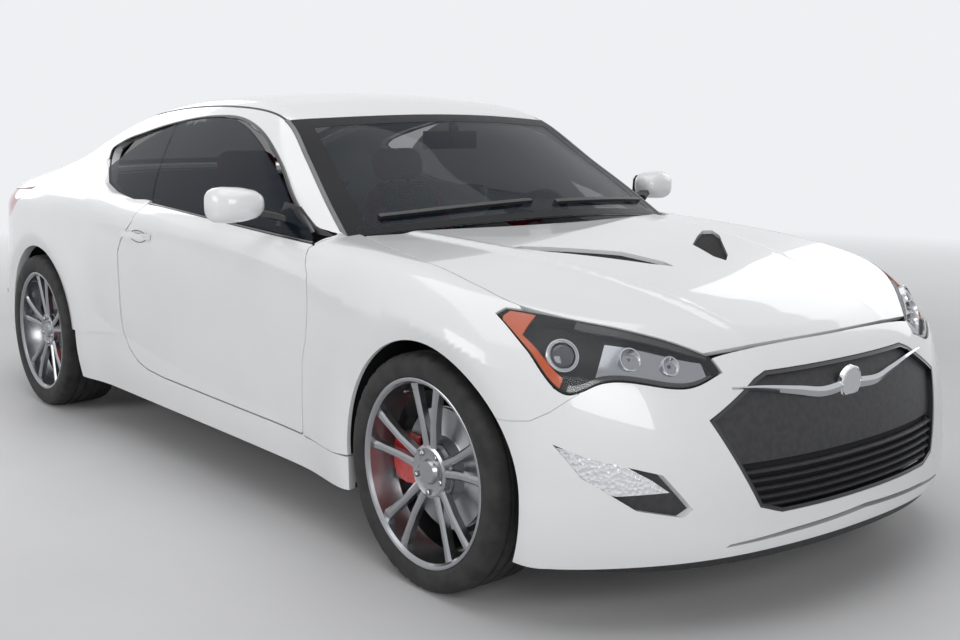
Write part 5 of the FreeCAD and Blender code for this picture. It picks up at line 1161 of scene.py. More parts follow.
# Small lights along each fog lamp, their bright white a painted glint
FOG_BEAD = [(0, 0.5), (0, 5), (-2, 6.5), (-5, 6.5), (-5, 0.5)]
lights = Parts()
for x, z in FOG_ROW:
    spot = on_front([(x, z)])[0]
    out = normal(spot, lower_body)
    lights.turned(FOG_BEAD, spot - out * 4, unit(out + FORWARD), 28)
lights.mirrored().finish("fog_lights_painted_glints", "body", LED_GLINT_WHITE)

# Grille: dark back, slats that follow the nose, surround, chrome wing and bare disc
SLAT_COUNT, SLAT_PITCH, SLAT_FIRST, SLAT_HIGH = 5, 22.0, 318.0, 9.0
MASK_OUTLINE = [(-600, 430), (600, 430), (600, 700), (-600, 700)]
# Heights of the opening's corners, and its half width at each
GRILLE_HEIGHTS, GRILLE_HALVES = [300, 322, 548, 634, 648], [330, 398, 512, 352, 310]
xs, zs = np.meshgrid(np.linspace(-516, 516, 101), np.linspace(296, 652, 31), indexing="ij")
grille_grid = on_front(np.column_stack([xs.ravel(), zs.ravel()])).reshape(101, 31, 3)
grille_hole = grown(GRILLE_OUTLINE, -1)
back = carve(layer(grille_grid, lower_body, 30.0, 4.0), [front_prism(grille_hole)], "INTERSECT")
shaded(back, lower_body, "grille_back", "body", DEEP_BLACK, None, ["grille"], 31.0)
mask_cutters = [front_prism(grille_hole), front_prism(MASK_OUTLINE)]
mask = carve(layer(grille_grid, lower_body, 16.0, 6.0), mask_cutters, "INTERSECT")
shaded(mask, lower_body, "grille_mask", "body", BLACK_PLASTIC, reach=17.0)
slats = Parts()
for number in range(SLAT_COUNT):
    low = SLAT_FIRST + SLAT_PITCH * number
    half = np.interp(low, GRILLE_HEIGHTS, GRILLE_HALVES) - 3
    spots = np.linspace(-half, half, 61)
    rows = [on_front(np.column_stack([spots, np.full(61, z)])) for z in (low, low + SLAT_HIGH)]
    out = normal(rows[0], lower_body)
    slats.loops([[a - o * 9, a - o * 30, b - o * 30, b - o * 12, (a + b) / 2 - o * 6]
                 for a, b, o in zip(rows[0], rows[1], out)])
slats.finish("grille_slats", "body", BLACK_PLASTIC)
surround = Parts()
outline = np.array(grown(GRILLE_OUTLINE, -6))
edges = zip(outline, np.roll(outline, -1, 0))
corners = np.concatenate([np.linspace(a, b, 14, endpoint=False) for a, b in edges])
surround.strip(on_front(corners), lower_body, 10, -1.0, 16.0, closed=True)
surround.finish("grille_surround", "body", BLACK_GLOSS)
wing = Parts()
WING_START, WING_END = 30, 428
WING_LINE = [(0, 586), (60, 580), (122, 578), (214, 592), (345, 610), (428, 616)]
spots = np.linspace(WING_START, WING_END, 61)
heights = Curve(WING_LINE, 1)(spots)
front_line = on_front(np.column_stack([spots, heights]))
front_out = normal(front_line, lower_body)
tuck = np.interp(spots, [WING_START, WING_END], [9.0, 1.0])[:, None]
thick = np.interp(spots, [WING_START, 180, WING_END], [15.0, 13.0, 4.0])[:, None]
upright = np.array([0.0, 0.0, 1.0])
crest = front_line - front_out * (tuck - 7)
upper = front_line - front_out * tuck + upright * thick
lower = front_line - front_out * tuck - upright * thick
wing.loops([[a, c, b, b - o * 14, a - o * 14] for a, b, c, o in zip(upper, lower, crest, front_out)])
wing.mirrored().finish("grille_wing", "body", SILVER)
badge = Parts()
badge.turned([(0, 0.5), (0, 38), (-3, 39), (-3, 42), (0, 43), (-3, 47), (-14, 48), (-14, 0.5)],
             (0, -2137, 582), (0, -1, -0.1))
badge.finish("grille_disc", "body", CHROME)

# Window trims, mouldings and glass bands
trims = Parts()
upper = on_side(np.array(WINDOW_OUTLINE)[9:], cabin)
trims.strip(stretch(upper, 120), cabin, 13, 2.5, 3.0)
trims.mirrored().finish("window_trims", "body", BLACK_GLOSS)
SAIL_OUTLINE = np.array([(-778, 912), (-520, 938), (-520, 1012), (-592, 1000), (-690, 946)], float)
for side_name, side in MESH_SIDES.items():
    line = belt_points(np.linspace(-778, 388, 70)) * (side, 1, 1)
    belt_strip = Parts()
    belt_strip.strip(line + np.array([-6.0 * side, 0, 3.0]), lower_body, 11, 2.5, 5.0)
    belt_strip.finish("belt_trim_" + side_name, "door_" + side_name, BLACK_GLOSS)
    sail = Parts()
    outer = on_side(SAIL_OUTLINE, cabin) + (5.0, 0, 0)
    outer = outer * (side, 1, 1)
    sail.loops([outer, outer - np.array([9.0 * side, 0, 0])])
    sail.finish("mirror_sail_" + side_name, "door_" + side_name, BLACK_PLASTIC)

# Mirrors: shell over sections across the car, bezel and pane behind it, arm to the door's corner
# Sections of the shell: distance out, front and rear station, low and high edge
MIRROR_SECTIONS = [(880, -562, -512, 992, 1034), (890, -582, -494, 976, 1048), (910, -594, -482, 963, 1059),
                   (950, -600, -478, 957, 1066), (1000, -592, -476, 954, 1068), (1026, -577, -477, 957, 1064),
                   (1041, -556, -480, 966, 1056), (1048, -540, -484, 978, 1046)]
MIRROR_FRAME = [(905, 975), (1022, 968), (1034, 985), (1032, 1042), (1015, 1054), (915, 1050), (900, 1035),
                (896, 990)]
MIRROR_X, MIRROR_Z, MIRROR_REAR = 965, 1012, -475.5
# Sections of the arm: distance out, station, height, half width
ARM_SECTIONS = [(832, -566, 966, 44), (848, -566, 972, 36), (868, -560, 978, 28), (892, -548, 984, 24),
                (925, -542, 988, 20)]
ARM_FORM = [(-1, -9), (-1, 7), (-0.7, 11), (0.7, 11), (1, 7), (1, -9)]


def rounded(value, power):
    """The value's power with its sign kept."""
    return math.copysign(abs(value) ** power, value)


def mirror_section(side, x, front, rear, low, high):
    middle, height = rear - 0.30 * (rear - front), (low + high) / 2
    section = []
    for turn in np.linspace(0, 2 * math.pi, 40, endpoint=False):
        c, s = math.cos(turn), math.sin(turn)
        reach = (rear - middle) if c > 0 else (middle - front)
        station, z = middle + reach * rounded(c, 0.75), height + (high - low) / 2 * rounded(s, 0.75)
        section.append((x * side, station, z))
    return section


def plate_of(line, first, second):
    """Closed plate between two stations over an outline seen from behind."""
    plate = Parts()
    plate.loops([[(x, y + shift, z) for x, y, z in line] for shift in (first, second)])
    return plate


for side_name, side in MESH_SIDES.items():
    node_name = "mirror_" + side_name
    mirror_body = body_for(node_name)
    shell, arm = Parts(), Parts()
    shell.loops([mirror_section(side, *row) for row in MIRROR_SECTIONS])
    shell.finish("mirror_shell_" + side_name, mirror_body, PAINT, "body_paint", [node_name])
    frame_line = [(x * side, MIRROR_REAR, z) for x, z in MIRROR_FRAME]
    middle = MIRROR_X * side
    inner = [(x * 0.5 + middle * 0.5 + (x - middle) * 0.44, y - 1.5, z + (MIRROR_Z - z) * 0.06)
             for x, y, z in frame_line]
    plate_of(frame_line, 0, -6).finish("mirror_bezel_" + side_name, mirror_body, BLACK_PLASTIC)
    plate_of(inner, 2.2, 1.2).finish("mirror_pane_" + side_name, mirror_body, MIRROR_FACE)
    arm.loops([[(x * side, station + half * share_of_half, z + rise) for share_of_half, rise in ARM_FORM]
               for x, station, z, half in ARM_SECTIONS])
    arm.finish("mirror_arm_" + side_name, mirror_body, BLACK_PLASTIC)

# Black border of the side glass, on the frame round it
stations, heights = np.meshgrid(np.linspace(-820, 1060, 121), np.linspace(880, 1310, 41), indexing="ij")
glass_grid = np.stack([across_solve(stations, heights, cabin), stations, heights], -1)
border = carve(layer(glass_grid, cabin, 3.0, 4.0), [side_prism(grown(WINDOW_OUTLINE, 5))], "INTERSECT")
BELOW_BELT = [(-900, 860), (-900, 930), (-700, 932), (400, 985), (400, 860)]
border = carve(border, [side_prism(grown(WINDOW_OUTLINE, -4)), side_prism(BELOW_BELT)])
pair(border, cabin, "glass_borders", "body", GLASS_BAND, reach=3.5)

# Seams round the door handles
HANDLE_STATION, HANDLE_Z, HANDLE_LONG, HANDLE_HIGH = 352, 842, 72, 22
rim_line = [(HANDLE_STATION + HANDLE_LONG * math.cos(t), HANDLE_Z + HANDLE_HIGH * math.sin(t))
            for t in np.linspace(0, 2 * math.pi, 48, endpoint=False)]
for side_name, side in MESH_SIDES.items():
    cup = Parts()
    cup.strip(on_side(rim_line, lower_skin) * (side, 1, 1), lower_body, 3.0, 0.6, 1.5, closed=True)
    cup.finish("handle_seam_" + side_name, "door_" + side_name, BLACK_PLASTIC)

# Dark fill behind the tail lamps and below the rear window
tail_grid = net([TAIL_LAMP_TOP, TAIL_LAMP_BOTTOM], 41, 9, (0, -30.0, -8, -8), lower_body)
sheets("tail_lamp_backs", tail_grid, 24.0, 4.0, BLACK_PLASTIC)
deck_grid = net([[(-640, 1640, 1045), (0, 1700, 1070), (640, 1640, 1045)],
                 [(-640, 1830, 1035), (0, 1850, 1048), (640, 1830, 1035)]], 61, 15, (0, 0, 0, 0), lower_body)
deck = thick_mesh(deck_grid, lower_body, -26.0, 29.0)
shaded(deck, lower_body, "rear_deck_gutter", "body", BLACK_PLASTIC, reach=27.0)

# Mouldings along the screens and the roof, and the black borders of the two screens
mouldings = Parts()
mouldings.strip(snap(stretch(portion(SIDE_TOP, 0, 3), 60), cabin), cabin, 16, 4.0, 4.0)
mouldings.mirrored().finish("screen_mouldings", "body", GREY_TRIM)
ditches = Parts()
ditches.strip(snap(stretch(portion(SIDE_TOP, 3, 7), 90), cabin), cabin, 9, 1.5, 4.0)
ditches.mirrored().finish("roof_strips", "body", BLACK_PLASTIC)
# Name, side line and centre line of the glass, and the border's share at its two ends and along its sides
SCREEN_BANDS = [("screen_band", portion(SIDE_TOP, 0, 3), GLASS_CENTRE, (0.05, 0.09, 0.045)),
                ("rear_band", portion(SIDE_TOP, 7, 10), BACK_CENTRE, (0.09, 0.07, 0.06))]
for name, side_line, centre_line, (low, high, flank) in SCREEN_BANDS:
    grid = net(three_lines(side_line, centre_line), 81, 81, (6, 6, 6, 6), cabin)
    strips = [share(grid, 0, low), share(grid, 1 - high, 1), share(grid, low, 1 - high, 0, flank),
              share(grid, low, 1 - high, 1 - flank, 1)]
    shaded(thick_mesh(strips, cabin, 0.7, -0.1), cabin, name, "body", GLASS_BAND, reach=1.0)

# Antenna fin on the rear of the roof
# Station, half width and rise of each section
FIN = [(690, 2, 0.0), (730, 10, 6.0), (780, 15, 15.0), (830, 17, 24.0), (862, 14, 30.0), (880, 8, 31.0)]
rings = []
for station, half, rise in FIN:
    base = snap(np.array([0.0, station, 1350.0]), cabin)[2]
    top = base + max(rise, 1.0)
    flank = [(half, base - 4), (half * 0.6, (base + top) / 2), (1, top)]
    rings.append([(-x, station, z) for x, z in flank] + [(x, station, z) for x, z in reversed(flank)])
fin = Parts()
fin.loops(rings)
fin.finish("antenna_fin", "body", PAINT)

# Wheels. Profiles give the distance along the axle, outwards, and the radius.
WHEEL_SPOTS = {"front_left": (1, -1410, "front"), "front_right": (-1, -1410, "front"),
               "rear_left": (1, 1410, "rear"), "rear_right": (-1, 1410, "rear")}
# Track, tyre radius, half width of the tyre, disc radius
WHEEL_SIZES = {"front": (800, 331, 112.5, 170), "rear": (807.5, 339, 122.5, 160)}
# The tyre's side, in from its half width; then the tread's edge, also in from the tyre's radius
TYRE_WALL = [(16, 259), (6, 266), (1.5, 276), (0.8, 290), (0, 303), (1.2, 306)]
TREAD_EDGE = [(2.5, 17), (9, 7), (22, 2)]
GROOVE_MIDDLES, GROOVE_FORM = (-60, -22, 22, 60), [(-6, 0.4), (-4, 7), (4, 7), (6, 0.4)]
TREAD_STEPS, NOTCH_EVERY, NOTCH_DEPTH = 180, 5, 5.0
# The rim's section from its inner lip, from its outer lip, and back inside from its inner lip
RIM_BACK = [(-3, 251), (-3, 264), (6, 258), (40, 258), (60, 238)]
RIM_FRONT = [(-80, 238), (-54, 258), (-6, 258), (1, 260), (3, 263), (4, 260), (2, 253), (-6, 247), (-53, 245),
             (-82, 231)]
RIM_INSIDE = [(62, 231), (42, 250)]
HUB_FORM = [(-30, 0.5), (-30, 74), (-8, 74), (-4, 66), (-10, 50), (-10, 36), (-3, 33), (1, 30), (2, 0.5)]
# Sections of a spoke: distance out, distance to the pair's middle, half width, front of it, depth
SPOKE_PAIRS = 5
SPOKE_SECTIONS = [(48, 13, 13, -8, 24), (80, 16, 13, -4, 25), (140, 25, 11.5, 2, 26), (200, 39, 12, 7, 26),
                  (236, 49, 15, 10, 26), (250, 53, 20, 11, 24)]
DISC_THICK, NUT_COUNT, NUT_CIRCLE = 26, 5, 57.15
NUT_FORM = [(-14, 0.5), (-14, 10), (-2, 9), (1, 6), (1, 0.5)]
CALIPER_OUTLINE = [(104, -68), (104, 68), (150, 72), (184, 62), (200, 40), (206, 0), (200, -40), (184, -62),
                   (150, -72)]
UP, AHEAD = np.array([0.0, 0.0, 1.0]), np.array([0.0, 1.0, 0.0])


def moved(profile, start):
    return [(start + a, r) for a, r in profile]


def around(count, first=0.0):
    """Directions outwards and onwards at even steps round the wheel."""
    for number in range(count):
        turn = 2 * math.pi * (number + first) / count
        yield UP * math.cos(turn) + AHEAD * math.sin(turn), AHEAD * math.cos(turn) - UP * math.sin(turn)


class Wheel:
    """The pieces of one wheel and its brake."""

    def __init__(self, corner, side, station, end):
        track, self.radius, self.half, self.disc_radius = WHEEL_SIZES[end]
        self.corner, self.side, self.end = corner, side, end
        self.centre = np.array([track * side, station, self.radius], float)
        self.axle = np.array([side, 0.0, 0.0])
        self.rim_half = self.half - 10
        self.face = self.rim_half - 22
        self.disc_out = self.rim_half - 85
        self.body = body_for("rim_" + corner)

    def tyre(self):
        wall = TYRE_WALL + [(a, self.radius - drop) for a, drop in TREAD_EDGE]
        grooves = [(middle + a, self.radius - drop) for middle in GROOVE_MIDDLES for a, drop in GROOVE_FORM]
        inner, outer = [(a - self.half, r) for a, r in wall], [(self.half - a, r) for a, r in wall[::-1]]
        profile = inner + grooves + outer
        tyre = Parts()
        tyre.turned(profile, self.centre, self.axle, TREAD_STEPS)
        whole = tyre.points[0].reshape(TREAD_STEPS, len(profile), 3)
        notched = np.arange(TREAD_STEPS) % NOTCH_EVERY == 0
        for spot in (7, 8, len(profile) - 9, len(profile) - 8):
            inward = (self.centre - whole[notched, spot]) * (0, 1, 1)
            whole[notched, spot] += inward / np.linalg.norm(inward, axis=1)[:, None] * NOTCH_DEPTH
        tyre.points[0] = whole.reshape(-1, 3)
        name = "tyre_" + self.corner
        tyre.finish(name + "_tread", body_for(name), RUBBER, None, [name])

    def rim(self):
        rim = Parts()
        barrel = moved(RIM_BACK, -self.rim_half) + moved(RIM_FRONT, self.rim_half)
        rim.turned(barrel + moved(RIM_INSIDE, -self.rim_half), self.centre, self.axle, 120)
        rim.turned(moved(HUB_FORM, self.face), self.centre, self.axle, 80)
        for out, over in around(SPOKE_PAIRS):
            for lean in (1, -1):
                rim.loops([self.spoke_section(out, over, lean, *row) for row in SPOKE_SECTIONS])
        name = "rim_" + self.corner
        rim.finish(name + "_alloy", self.body, RIM_METAL, None, [name], 25.0)

    def spoke_section(self, out, over, lean, reach, offset, wide, front, deep):
        spot = self.centre + self.axle * (self.face + front) + out * reach + over * (offset * lean)
        form = [(-wide, deep), (-wide, 7), (-wide * 0.45, 1), (wide * 0.45, 1), (wide, 7), (wide, deep)]
        return [spot + over * across - self.axle * back for across, back in form]

    def disc(self):
        start, size = self.disc_out, self.disc_radius
        back = start - DISC_THICK
        ring = [(back, 84), (back, size), (start - 18, size), (start - 17, size - 3), (start - 9, size - 3),
                (start - 8, size), (start, size), (start, 96), (start + 2, 92), (self.face - 32, 84)]
        bell = [(back, 30), (back, 86), (self.face - 28, 82), (self.face - 26, 30)]
        disc = Parts()
        disc.turned(ring, self.centre, self.axle, 96)
        disc.turned(bell, self.centre, self.axle, 60)
        disc.finish("brake_disc_" + self.corner, self.body, STEEL)

    def nuts(self):
        nuts = Parts()
        for out, over in around(NUT_COUNT, 0.5):
            nuts.turned(moved(NUT_FORM, self.face), self.centre + out * NUT_CIRCLE, self.axle, 6)
        valve = self.centre + self.axle * (self.face - 2) + unit(UP + AHEAD * 0.32) * 226
        nuts.tube([valve, valve + self.axle * 12, valve + self.axle * 24], 3.2, 10)
        nuts.finish("wheel_nuts_" + self.corner, self.body, DARK_CHROME)

    def caliper(self):
        """Block with bevelled ends, over the disc, with a slot that the disc turns in."""
        way = 1 if self.end == "front" else -1
        inner, outer = self.disc_out - DISC_THICK - 28, self.disc_out + 28
        block, slot = Parts(), Parts()
        block.loops([[self.centre + self.axle * a + AHEAD * (way * y * length) + UP * (z * height)
                      for y, z in CALIPER_OUTLINE]
                     for a, length, height in ((inner, 0.985, 0.93), (inner + 6, 1, 1), (outer - 6, 1, 1),
                                               (outer, 0.985, 0.93))])
        low, high, reach = self.disc_out - 29, self.disc_out + 3, self.disc_radius + 4
        slot.turned([(low, 1), (low, reach), (high, reach), (high, 1)], self.centre, self.axle, 96)
        shell = carve(block.mesh(), [cutter_of(slot.mesh())])
        knuckle = "knuckle_left" if self.side > 0 else "knuckle_right"
        carrier = body_for(knuckle) if self.end == "front" else "body"
        place("caliper_" + self.corner + "_shell", shell, carrier, CALIPER_RED)


for corner, (side, station, end) in WHEEL_SPOTS.items():
    wheel = Wheel(corner, side, station, end)
    wheel.tyre()
    wheel.rim()
    wheel.disc()
    wheel.nuts()
    wheel.caliper()

# Wheel housings
# Arch, inner edge, and the angles where it starts and stops, from straight ahead over the top
LINERS = [(ARCHES[0], 470, -18, 200), (ARCHES[1], 545, -16, 196)]
LINER_GAP, LINER_THICK, LINER_EDGE, BEHIND_SKIN = 24, 4, 878.0, 24
INNER_WALL, AXLE_ROOM = 548.0, 110.0


def arch_ways(start, stop, count):
    for turn in np.radians(np.linspace(start, stop, count)):
        yield np.array([0.0, -math.cos(turn), math.sin(turn)])


liners = Parts()
for (middle, height, radius), inner, start, stop in LINERS:
    rings = []
    for out in arch_ways(start, stop, 61):
        hub = np.array([0.0, middle, height])
        near, far = hub + out * (radius + LINER_GAP), hub + out * (radius + LINER_GAP + LINER_THICK)
        skin = float(across_solve(far[1], max(far[2], 200.0), lower_body)) - BEHIND_SKIN
        edge = min(LINER_EDGE, skin)
        rings.append([near + (inner, 0, 0), near + (edge, 0, 0), far + (edge, 0, 0), far + (inner, 0, 0)])
    liners.loops(rings)
middle, height, radius = ARCHES[1]
hub = np.array([INNER_WALL, middle, height])
sector = []
for out in arch_ways(6, 174, 41):
    near, far = hub + out * AXLE_ROOM, hub + out * (radius + 26)
    sector.append([near, far, far + (4, 0, 0), near + (4, 0, 0)])
liners.loops(sector)
liners.mirrored().finish("wheel_housings", "body", DEEP_BLACK)

# Door cards: inner trim with a red middle. Share of the door along and up, depths of its two faces.
DOOR_CARDS = [("door_card_", (0.05, 0.95, 0.10, 0.985), 70.4, 79.0, BLACK_LEATHER),
              ("door_trim_", (0.18, 0.86, 0.62, 0.84), 78.0, 81.0, RED_LEATHER)]
for side_name, side in MESH_SIDES.items():
    for label, spans, outer, inner, made_of in DOOR_CARDS:
        card = thick_mesh(share(door_grid, *spans), lower_skin, -outer, inner)
        if side < 0:
            card = flip_mesh(card)
        shaded(card, lower_skin, label + side_name, "door_" + side_name, made_of, reach=inner + 1)

# Seats: padded cushions with pulled seams, red bolsters and a black middle
SEAT_TONES = (BLACK_LEATHER, RED_LEATHER)
CHANNEL_PULL, SEAM_PULL = 0.006, 0.010


def soften(work):
    """Finer faces for a cushion's form, with its corners rounded off."""
    bmesh.ops.triangulate(work, faces=[f for f in work.faces if len(f.verts) > 4])
    bmesh.ops.subdivide_edges(work, edges=work.edges, cuts=2, use_grid_fill=True)
    for turn in range(3):
        bmesh.ops.smooth_vert(work, verts=work.verts, factor=0.5, use_axis_x=True, use_axis_y=True,
                              use_axis_z=True)


def cushion(name, rings, body, seam_every, replaces=(), bolster=0.62):
    """Stuffed form skinned over sections; its channels are pulled in and its sides are the red bolsters."""
    form = Parts()
    form.loops(rings)
    mesh_object = form.finish(name, body, None, None, replaces)
    mesh = reworked(mesh_object.data, soften)
    points = values_of(mesh.vertices, "co")
    low, high = points.min(0), points.max(0)
    middle, half = (low + high) / 2, (high - low) / 2
    across = np.abs((points[:, 0] - middle[0]) / half[0])
    run = (points[:, 1] + points[:, 2]) / seam_every
    channel = np.exp(-(np.mod(run + 0.5, 1) - 0.5) ** 2 / 0.006) * (across < bolster)
    seam = np.exp(-((across - bolster) / 0.035) ** 2)
    pull = CHANNEL_PULL * channel + SEAM_PULL * seam
    points = points - values_of(mesh.vertices, "normal") * pull[:, None]
    mesh.vertices.foreach_set("co", points.ravel())
    for tone in SEAT_TONES:
        mesh.materials.append(tone)
    outer = np.abs(values_of(mesh.polygons, "center")[:, 0] - middle[0]) > bolster * half[0]
    mesh.polygons.foreach_set("material_index", outer.astype(np.int32))
    smooth_all(mesh)
    mesh.update()
    return mesh_object


def oval(centre_x, station, z, half_x, half_t, lean=90, power=2.8, count=28):
    """Rounded section across the car: half_t is its half thickness, lean the way it faces, in degrees."""
    turn_out = np.array([0.0, -math.cos(math.radians(lean)), math.sin(math.radians(lean))])
    points = []
    for t in np.linspace(0, 2 * math.pi, count, endpoint=False):
        a = half_x * rounded(math.cos(t), 2 / power)
        b = half_t * rounded(math.sin(t), 2 / power)
        crown = 1.0 + (0.35 * (abs(a) / half_x) ** 3 if b > 0 else 0.0)
        points.append(np.array([centre_x + a, station, z]) + turn_out * b * crown)
    return points


# Sections of the cushions: station, height, half width, half thickness, and the lean where it isn't level
BASE = [(-248, 395, 150, 20), (-236, 400, 205, 52), (-190, 402, 222, 60), (-90, 398, 228, 58),
        (20, 392, 229, 56), (120, 390, 224, 54), (190, 392, 200, 46), (212, 394, 150, 20)]
BACK = [(262, 395, 160, 22, 8), (268, 425, 214, 56, 8), (300, 540, 228, 62, 12), (340, 680, 230, 60, 14),
        (385, 820, 226, 56, 14), (418, 920, 205, 50, 14), (440, 980, 165, 42, 14), (447, 1002, 110, 18, 14)]
HEAD = [(452, 1012, 80, 18, 10), (456, 1030, 118, 40, 10), (468, 1080, 128, 48, 10), (482, 1130, 122, 42, 10),
        (489, 1150, 85, 16, 10)]
BENCH = [(596, 425, 300, 25), (606, 420, 470, 52), (660, 418, 496, 60), (780, 424, 502, 58),
         (900, 430, 500, 54), (960, 436, 460, 38), (980, 440, 320, 16)]
BENCH_BACK = [(1000, 440, 320, 20, 24), (1012, 470, 470, 52, 24), (1040, 560, 498, 56, 24),
              (1085, 690, 500, 54, 24), (1125, 800, 490, 50, 24), (1150, 856, 420, 38, 24),
              (1160, 880, 300, 14, 24)]
SEAT_X, SEAT_SEAMS, BENCH_SEAMS, NO_SEAMS = 375, 0.105, 0.12, 9.0
for side_name, side in MESH_SIDES.items():
    x = SEAT_X * side
    replaced = ["front_seats"] if side > 0 else []
    cushion("seat_base_" + side_name, [oval(x, *row) for row in BASE], "body", SEAT_SEAMS, replaced)
    cushion("seat_back_" + side_name, [oval(x, *row) for row in BACK], "body", SEAT_SEAMS)
    cushion("headrest_" + side_name, [oval(x, *row) for row in HEAD], "body", NO_SEAMS, (), 0.02)
stalks = Parts()
for x in (330, 420):
    stalks.tube([(x, 440, 960), (x, 452, 1010), (x, 460, 1040)], 6)
for x in (230, 520):
    stalks.tube([(x, -180, 250), (x, 0, 250), (x, 240, 250)], 16)
    for station in (-60, 160):
        stalks.tube([(x, station, 340), (x, station, 300), (x, station, 236)], 14)
stalks.mirrored().finish("seat_frames", "body", DARK_CHROME)
cushion("rear_bench_base", [oval(0, *row) for row in BENCH], "body", BENCH_SEAMS, ["rear_seat"], 0.8)
cushion("rear_bench_back", [oval(0, *row) for row in BENCH_BACK], "body", BENCH_SEAMS, (), 0.8)
shelf = Parts()
shelf.loops([[(x, 1150, 872), (x, 1740, 985), (x, 1740, 977), (x, 1150, 862)] for x in (-560, 560)])
shelf.finish("parcel_shelf", "body", CARPET)

# Exhaust tips, rear valance and reflectors
TIP_FORM = [(0, 46), (2, 44), (0, 41), (-70, 41), (-72, 44), (-90, 46.5), (-3, 47.5)]
tips = Parts()
for x in (358, -358):
    tips.turned(TIP_FORM, (x, 2388, 214), (0, 1, 0))
tips.finish("exhaust_tips", "body", CHROME)
VALANCE_TOP = [(0, 2398, 380), (300, 2388, 372), (560, 2335, 350), (640, 2290, 320)]
VALANCE_LOW = [(0, 2385, 280), (300, 2378, 280), (560, 2322, 280), (640, 2284, 280)]
valance_grid = net([full_line(VALANCE_TOP), full_line(VALANCE_LOW)], 121, 9, (0, 0, 0, 0), lower_body)
valance = thick_mesh(valance_grid, lower_body, 1.2, 2.0)
shaded(valance, lower_body, "rear_valance", "body", BLACK_PLASTIC, reach=2.0)
markers = Parts()
marker = on_side([(1880, 470), (1975, 474)], lower_body)
markers.strip(stretch(marker, 12), lower_body, 22, 2.0, 2.0)
markers.mirrored().finish("rear_reflectors", "body", RED_LENS)

# Cabin trim: hoods over the instruments and the middle of the dashboard, and the vents' bars
dash = Parts()
for x0, x1, s0, z0, rise in ((235, 500, -640, 868, 52), (-110, 110, -620, 868, 70)):
    rings = []
    for x in np.linspace(x0, x1, 13):
        arch = math.sin(math.pi * (x - x0) / (x1 - x0)) ** 0.4 if x0 < x < x1 else 0.05
        top = z0 + rise * arch
        rings.append([(x, s0 - 60, z0 - 10), (x, s0 - 50, z0 + rise * 0.5 * arch), (x, s0 + 30, top),
                      (x, s0 + 44, top - 6), (x, s0 + 30, z0 - 14)])
    dash.loops(rings)
dash.finish("dash_hoods", "body", BLACK_LEATHER)
vents = Parts()
for x in (-640, -170, 170, 640):
    for row in range(4):
        z = 770 + 12 * row
        vents.tube([(x - 45, -540, z), (x, -537, z), (x + 45, -540, z)], 3, 8)
vents.finish("dash_vents", "body", DARK_CHROME)


# Finishes of the part's own nodes that no piece above replaces; the others are painted like the body.
FINISHES = [
    (SCREEN_GLASS, ("windshield", "rear_window")),
    (WINDOW_GLASS, ("quarter_glasses", "door_glass_left", "door_glass_right")),
    (CAST, ("front_axle", "rear_axle", "knuckle_left", "knuckle_right", "engine_block")),
    (BLACK_PLASTIC, ("dashboard", "cowl", "wipers", "interior_mirror")),
    (BLACK_LEATHER, ("steering_wheel",)),
    (CARPET, ("floor_pan",)),
    (STEEL, ("exhaust",)),
    (VENT_MESH, ("hood_vents",)),
    (RED_LENS, ("tail_lamps",)),
]
finish_by_node = {name: made for made, names in FINISHES for name in names}
for name, thing in NODES.items():
    thing.data.materials.clear()
    thing.data.materials.append(finish_by_node.get(name, PAINT))


# Camera, light and floor
CAMERA, LENS, SENSOR = Vector((-2.76438, -4.03394, 1.27542)), 44.823, 36.0
YAW, PITCH, TURN = math.radians(39.536), math.radians(-9.503), math.radians(0.111)
look = Vector((math.sin(YAW) * math.cos(PITCH), math.cos(YAW) * math.cos(PITCH), math.sin(PITCH)))
camera = bpy.data.objects.new("camera", bpy.data.cameras.new("camera"))
camera.data.lens, camera.data.sensor_width = LENS, SENSOR
camera.rotation_mode = "QUATERNION"
camera.location = CAMERA
camera.rotation_quaternion = look.to_track_quat("-Z", "Y") @ Matrix.Rotation(TURN, 3, "Z").to_quaternion()
bpy.context.scene.collection.objects.link(camera)
bpy.context.scene.camera = camera
bpy.context.scene.view_settings.view_transform = "Standard"

# Name, place, aim, width, power, height of each soft light
LAMPS = [("overhead", (-0.5, -0.5, 6.0), (0, 0, 0), 6.0, 175, 8.0),
         ("front_soft", (-3.5, -7.5, 3.2), (0, -0.5, 0.6), 4.0, 150, 3.0),
         ("side_soft", (-7.5, 1.5, 3.0), (0, 0, 0.6), 5.0, 130, 3.0),
         ("far_soft", (7.0, 0.0, 3.5), (0, 0, 0.6), 5.0, 50, 3.0),
         ("rear_soft", (0.5, 8.0, 3.5), (0, 0, 0.7), 4.0, 60, 3.0)]
for name, place_at, aim, size, power, size_y in LAMPS:
    data = bpy.data.lights.new(name, "AREA")
    data.energy, data.size = power, size
    data.shape, data.size_y = "RECTANGLE", size_y
    made = bpy.data.objects.new(name, data)
    made.location = place_at
    made.rotation_mode = "QUATERNION"
    made.rotation_quaternion = (Vector(aim) - Vector(place_at)).to_track_quat("-Z", "Y")
    bpy.context.scene.collection.objects.link(made)

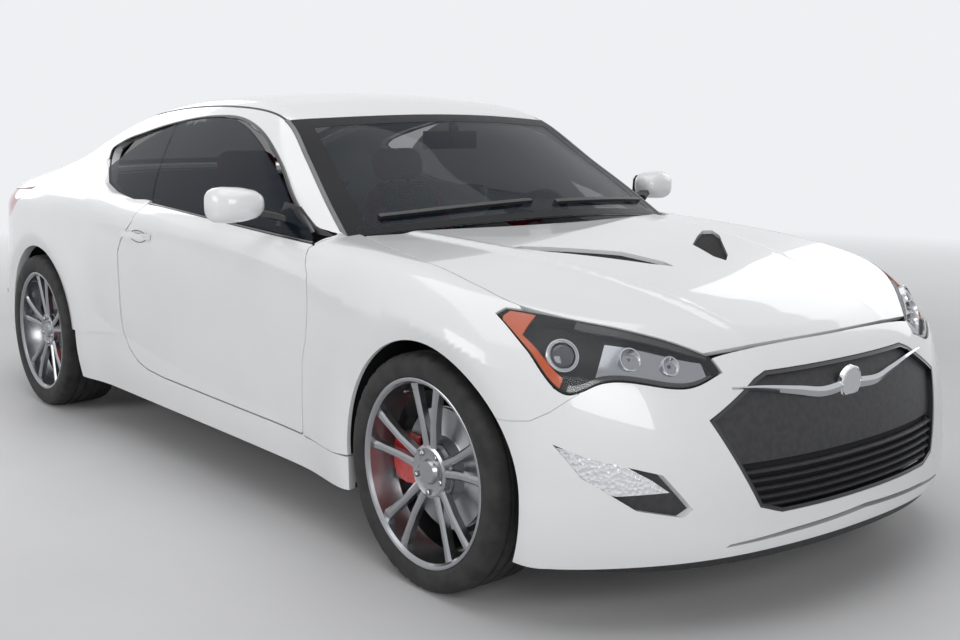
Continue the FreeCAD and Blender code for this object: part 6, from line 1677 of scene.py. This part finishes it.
floor_mesh = bpy.data.meshes.new("floor")
FLOOR = 60
floor_corners = [(-FLOOR, -FLOOR, 0), (FLOOR, -FLOOR, 0), (FLOOR, FLOOR, 0), (-FLOOR, FLOOR, 0)]
floor_mesh.from_pydata(floor_corners, [], [(0, 1, 2, 3)])
floor = bpy.data.objects.new("floor", floor_mesh)
bpy.context.scene.collection.objects.link(floor)
floor_material = material("studio_floor", (0.62, 0.62, 0.63), 0.6)
vary(floor_material, (0.70, 0.70, 0.71), (0.73, 0.73, 0.735), 1.5)
floor_mesh.materials.append(floor_material)
# Far from the car the floor fades into the backdrop
FADE_NEAR, FADE_FAR = 3.6, 10.0
BACKDROP = (0.86, 0.87, 0.89, 1)
coords = node(floor_material, "ShaderNodeTexCoord")
distance = node(floor_material, "ShaderNodeVectorMath", operation="LENGTH")
fade = node(floor_material, "ShaderNodeMapRange")
fade.inputs["From Min"].default_value, fade.inputs["From Max"].default_value = FADE_NEAR, FADE_FAR
backdrop = node(floor_material, "ShaderNodeEmission")
backdrop.inputs["Color"].default_value = BACKDROP
blend_in = node(floor_material, "ShaderNodeMixShader")
link(floor_material, coords, "Object", distance, 0)
link(floor_material, distance, "Value", fade, "Value")
link(floor_material, fade, "Result", blend_in, "Fac")
link(floor_material, shader_of(floor_material), "BSDF", blend_in, 1)
link(floor_material, backdrop, "Emission", blend_in, 2)
link(floor_material, blend_in, "Shader", floor_material.node_tree.nodes["Material Output"], "Surface")

world = bpy.data.worlds.new("studio")
bpy.context.scene.world = world
world.use_nodes = True
tree = world.node_tree
background = tree.nodes["Background"]
background.inputs["Color"].default_value = (0.80, 0.81, 0.83, 1)
background.inputs["Strength"].default_value = 0.22
pale = tree.nodes.new("ShaderNodeBackground")
pale.inputs["Color"].default_value = BACKDROP
pale.inputs["Strength"].default_value = 1.0
path = tree.nodes.new("ShaderNodeLightPath")


def added(first, second):
    total = tree.nodes.new("ShaderNodeMath")
    total.operation, total.use_clamp = "ADD", True
    tree.links.new(first, total.inputs[0])
    tree.links.new(second, total.inputs[1])
    return total.outputs[0]


# The camera, glass and mirrors see the pale backdrop; everything else is lit by the dimmer background.
seen = added(path.outputs["Is Camera Ray"], path.outputs["Is Transmission Ray"])
mix = tree.nodes.new("ShaderNodeMixShader")
tree.links.new(added(seen, path.outputs["Is Glossy Ray"]), mix.inputs["Fac"])
tree.links.new(background.outputs[0], mix.inputs[1])
tree.links.new(pale.outputs[0], mix.inputs[2])
tree.links.new(mix.outputs[0], tree.nodes["World Output"].inputs["Surface"])
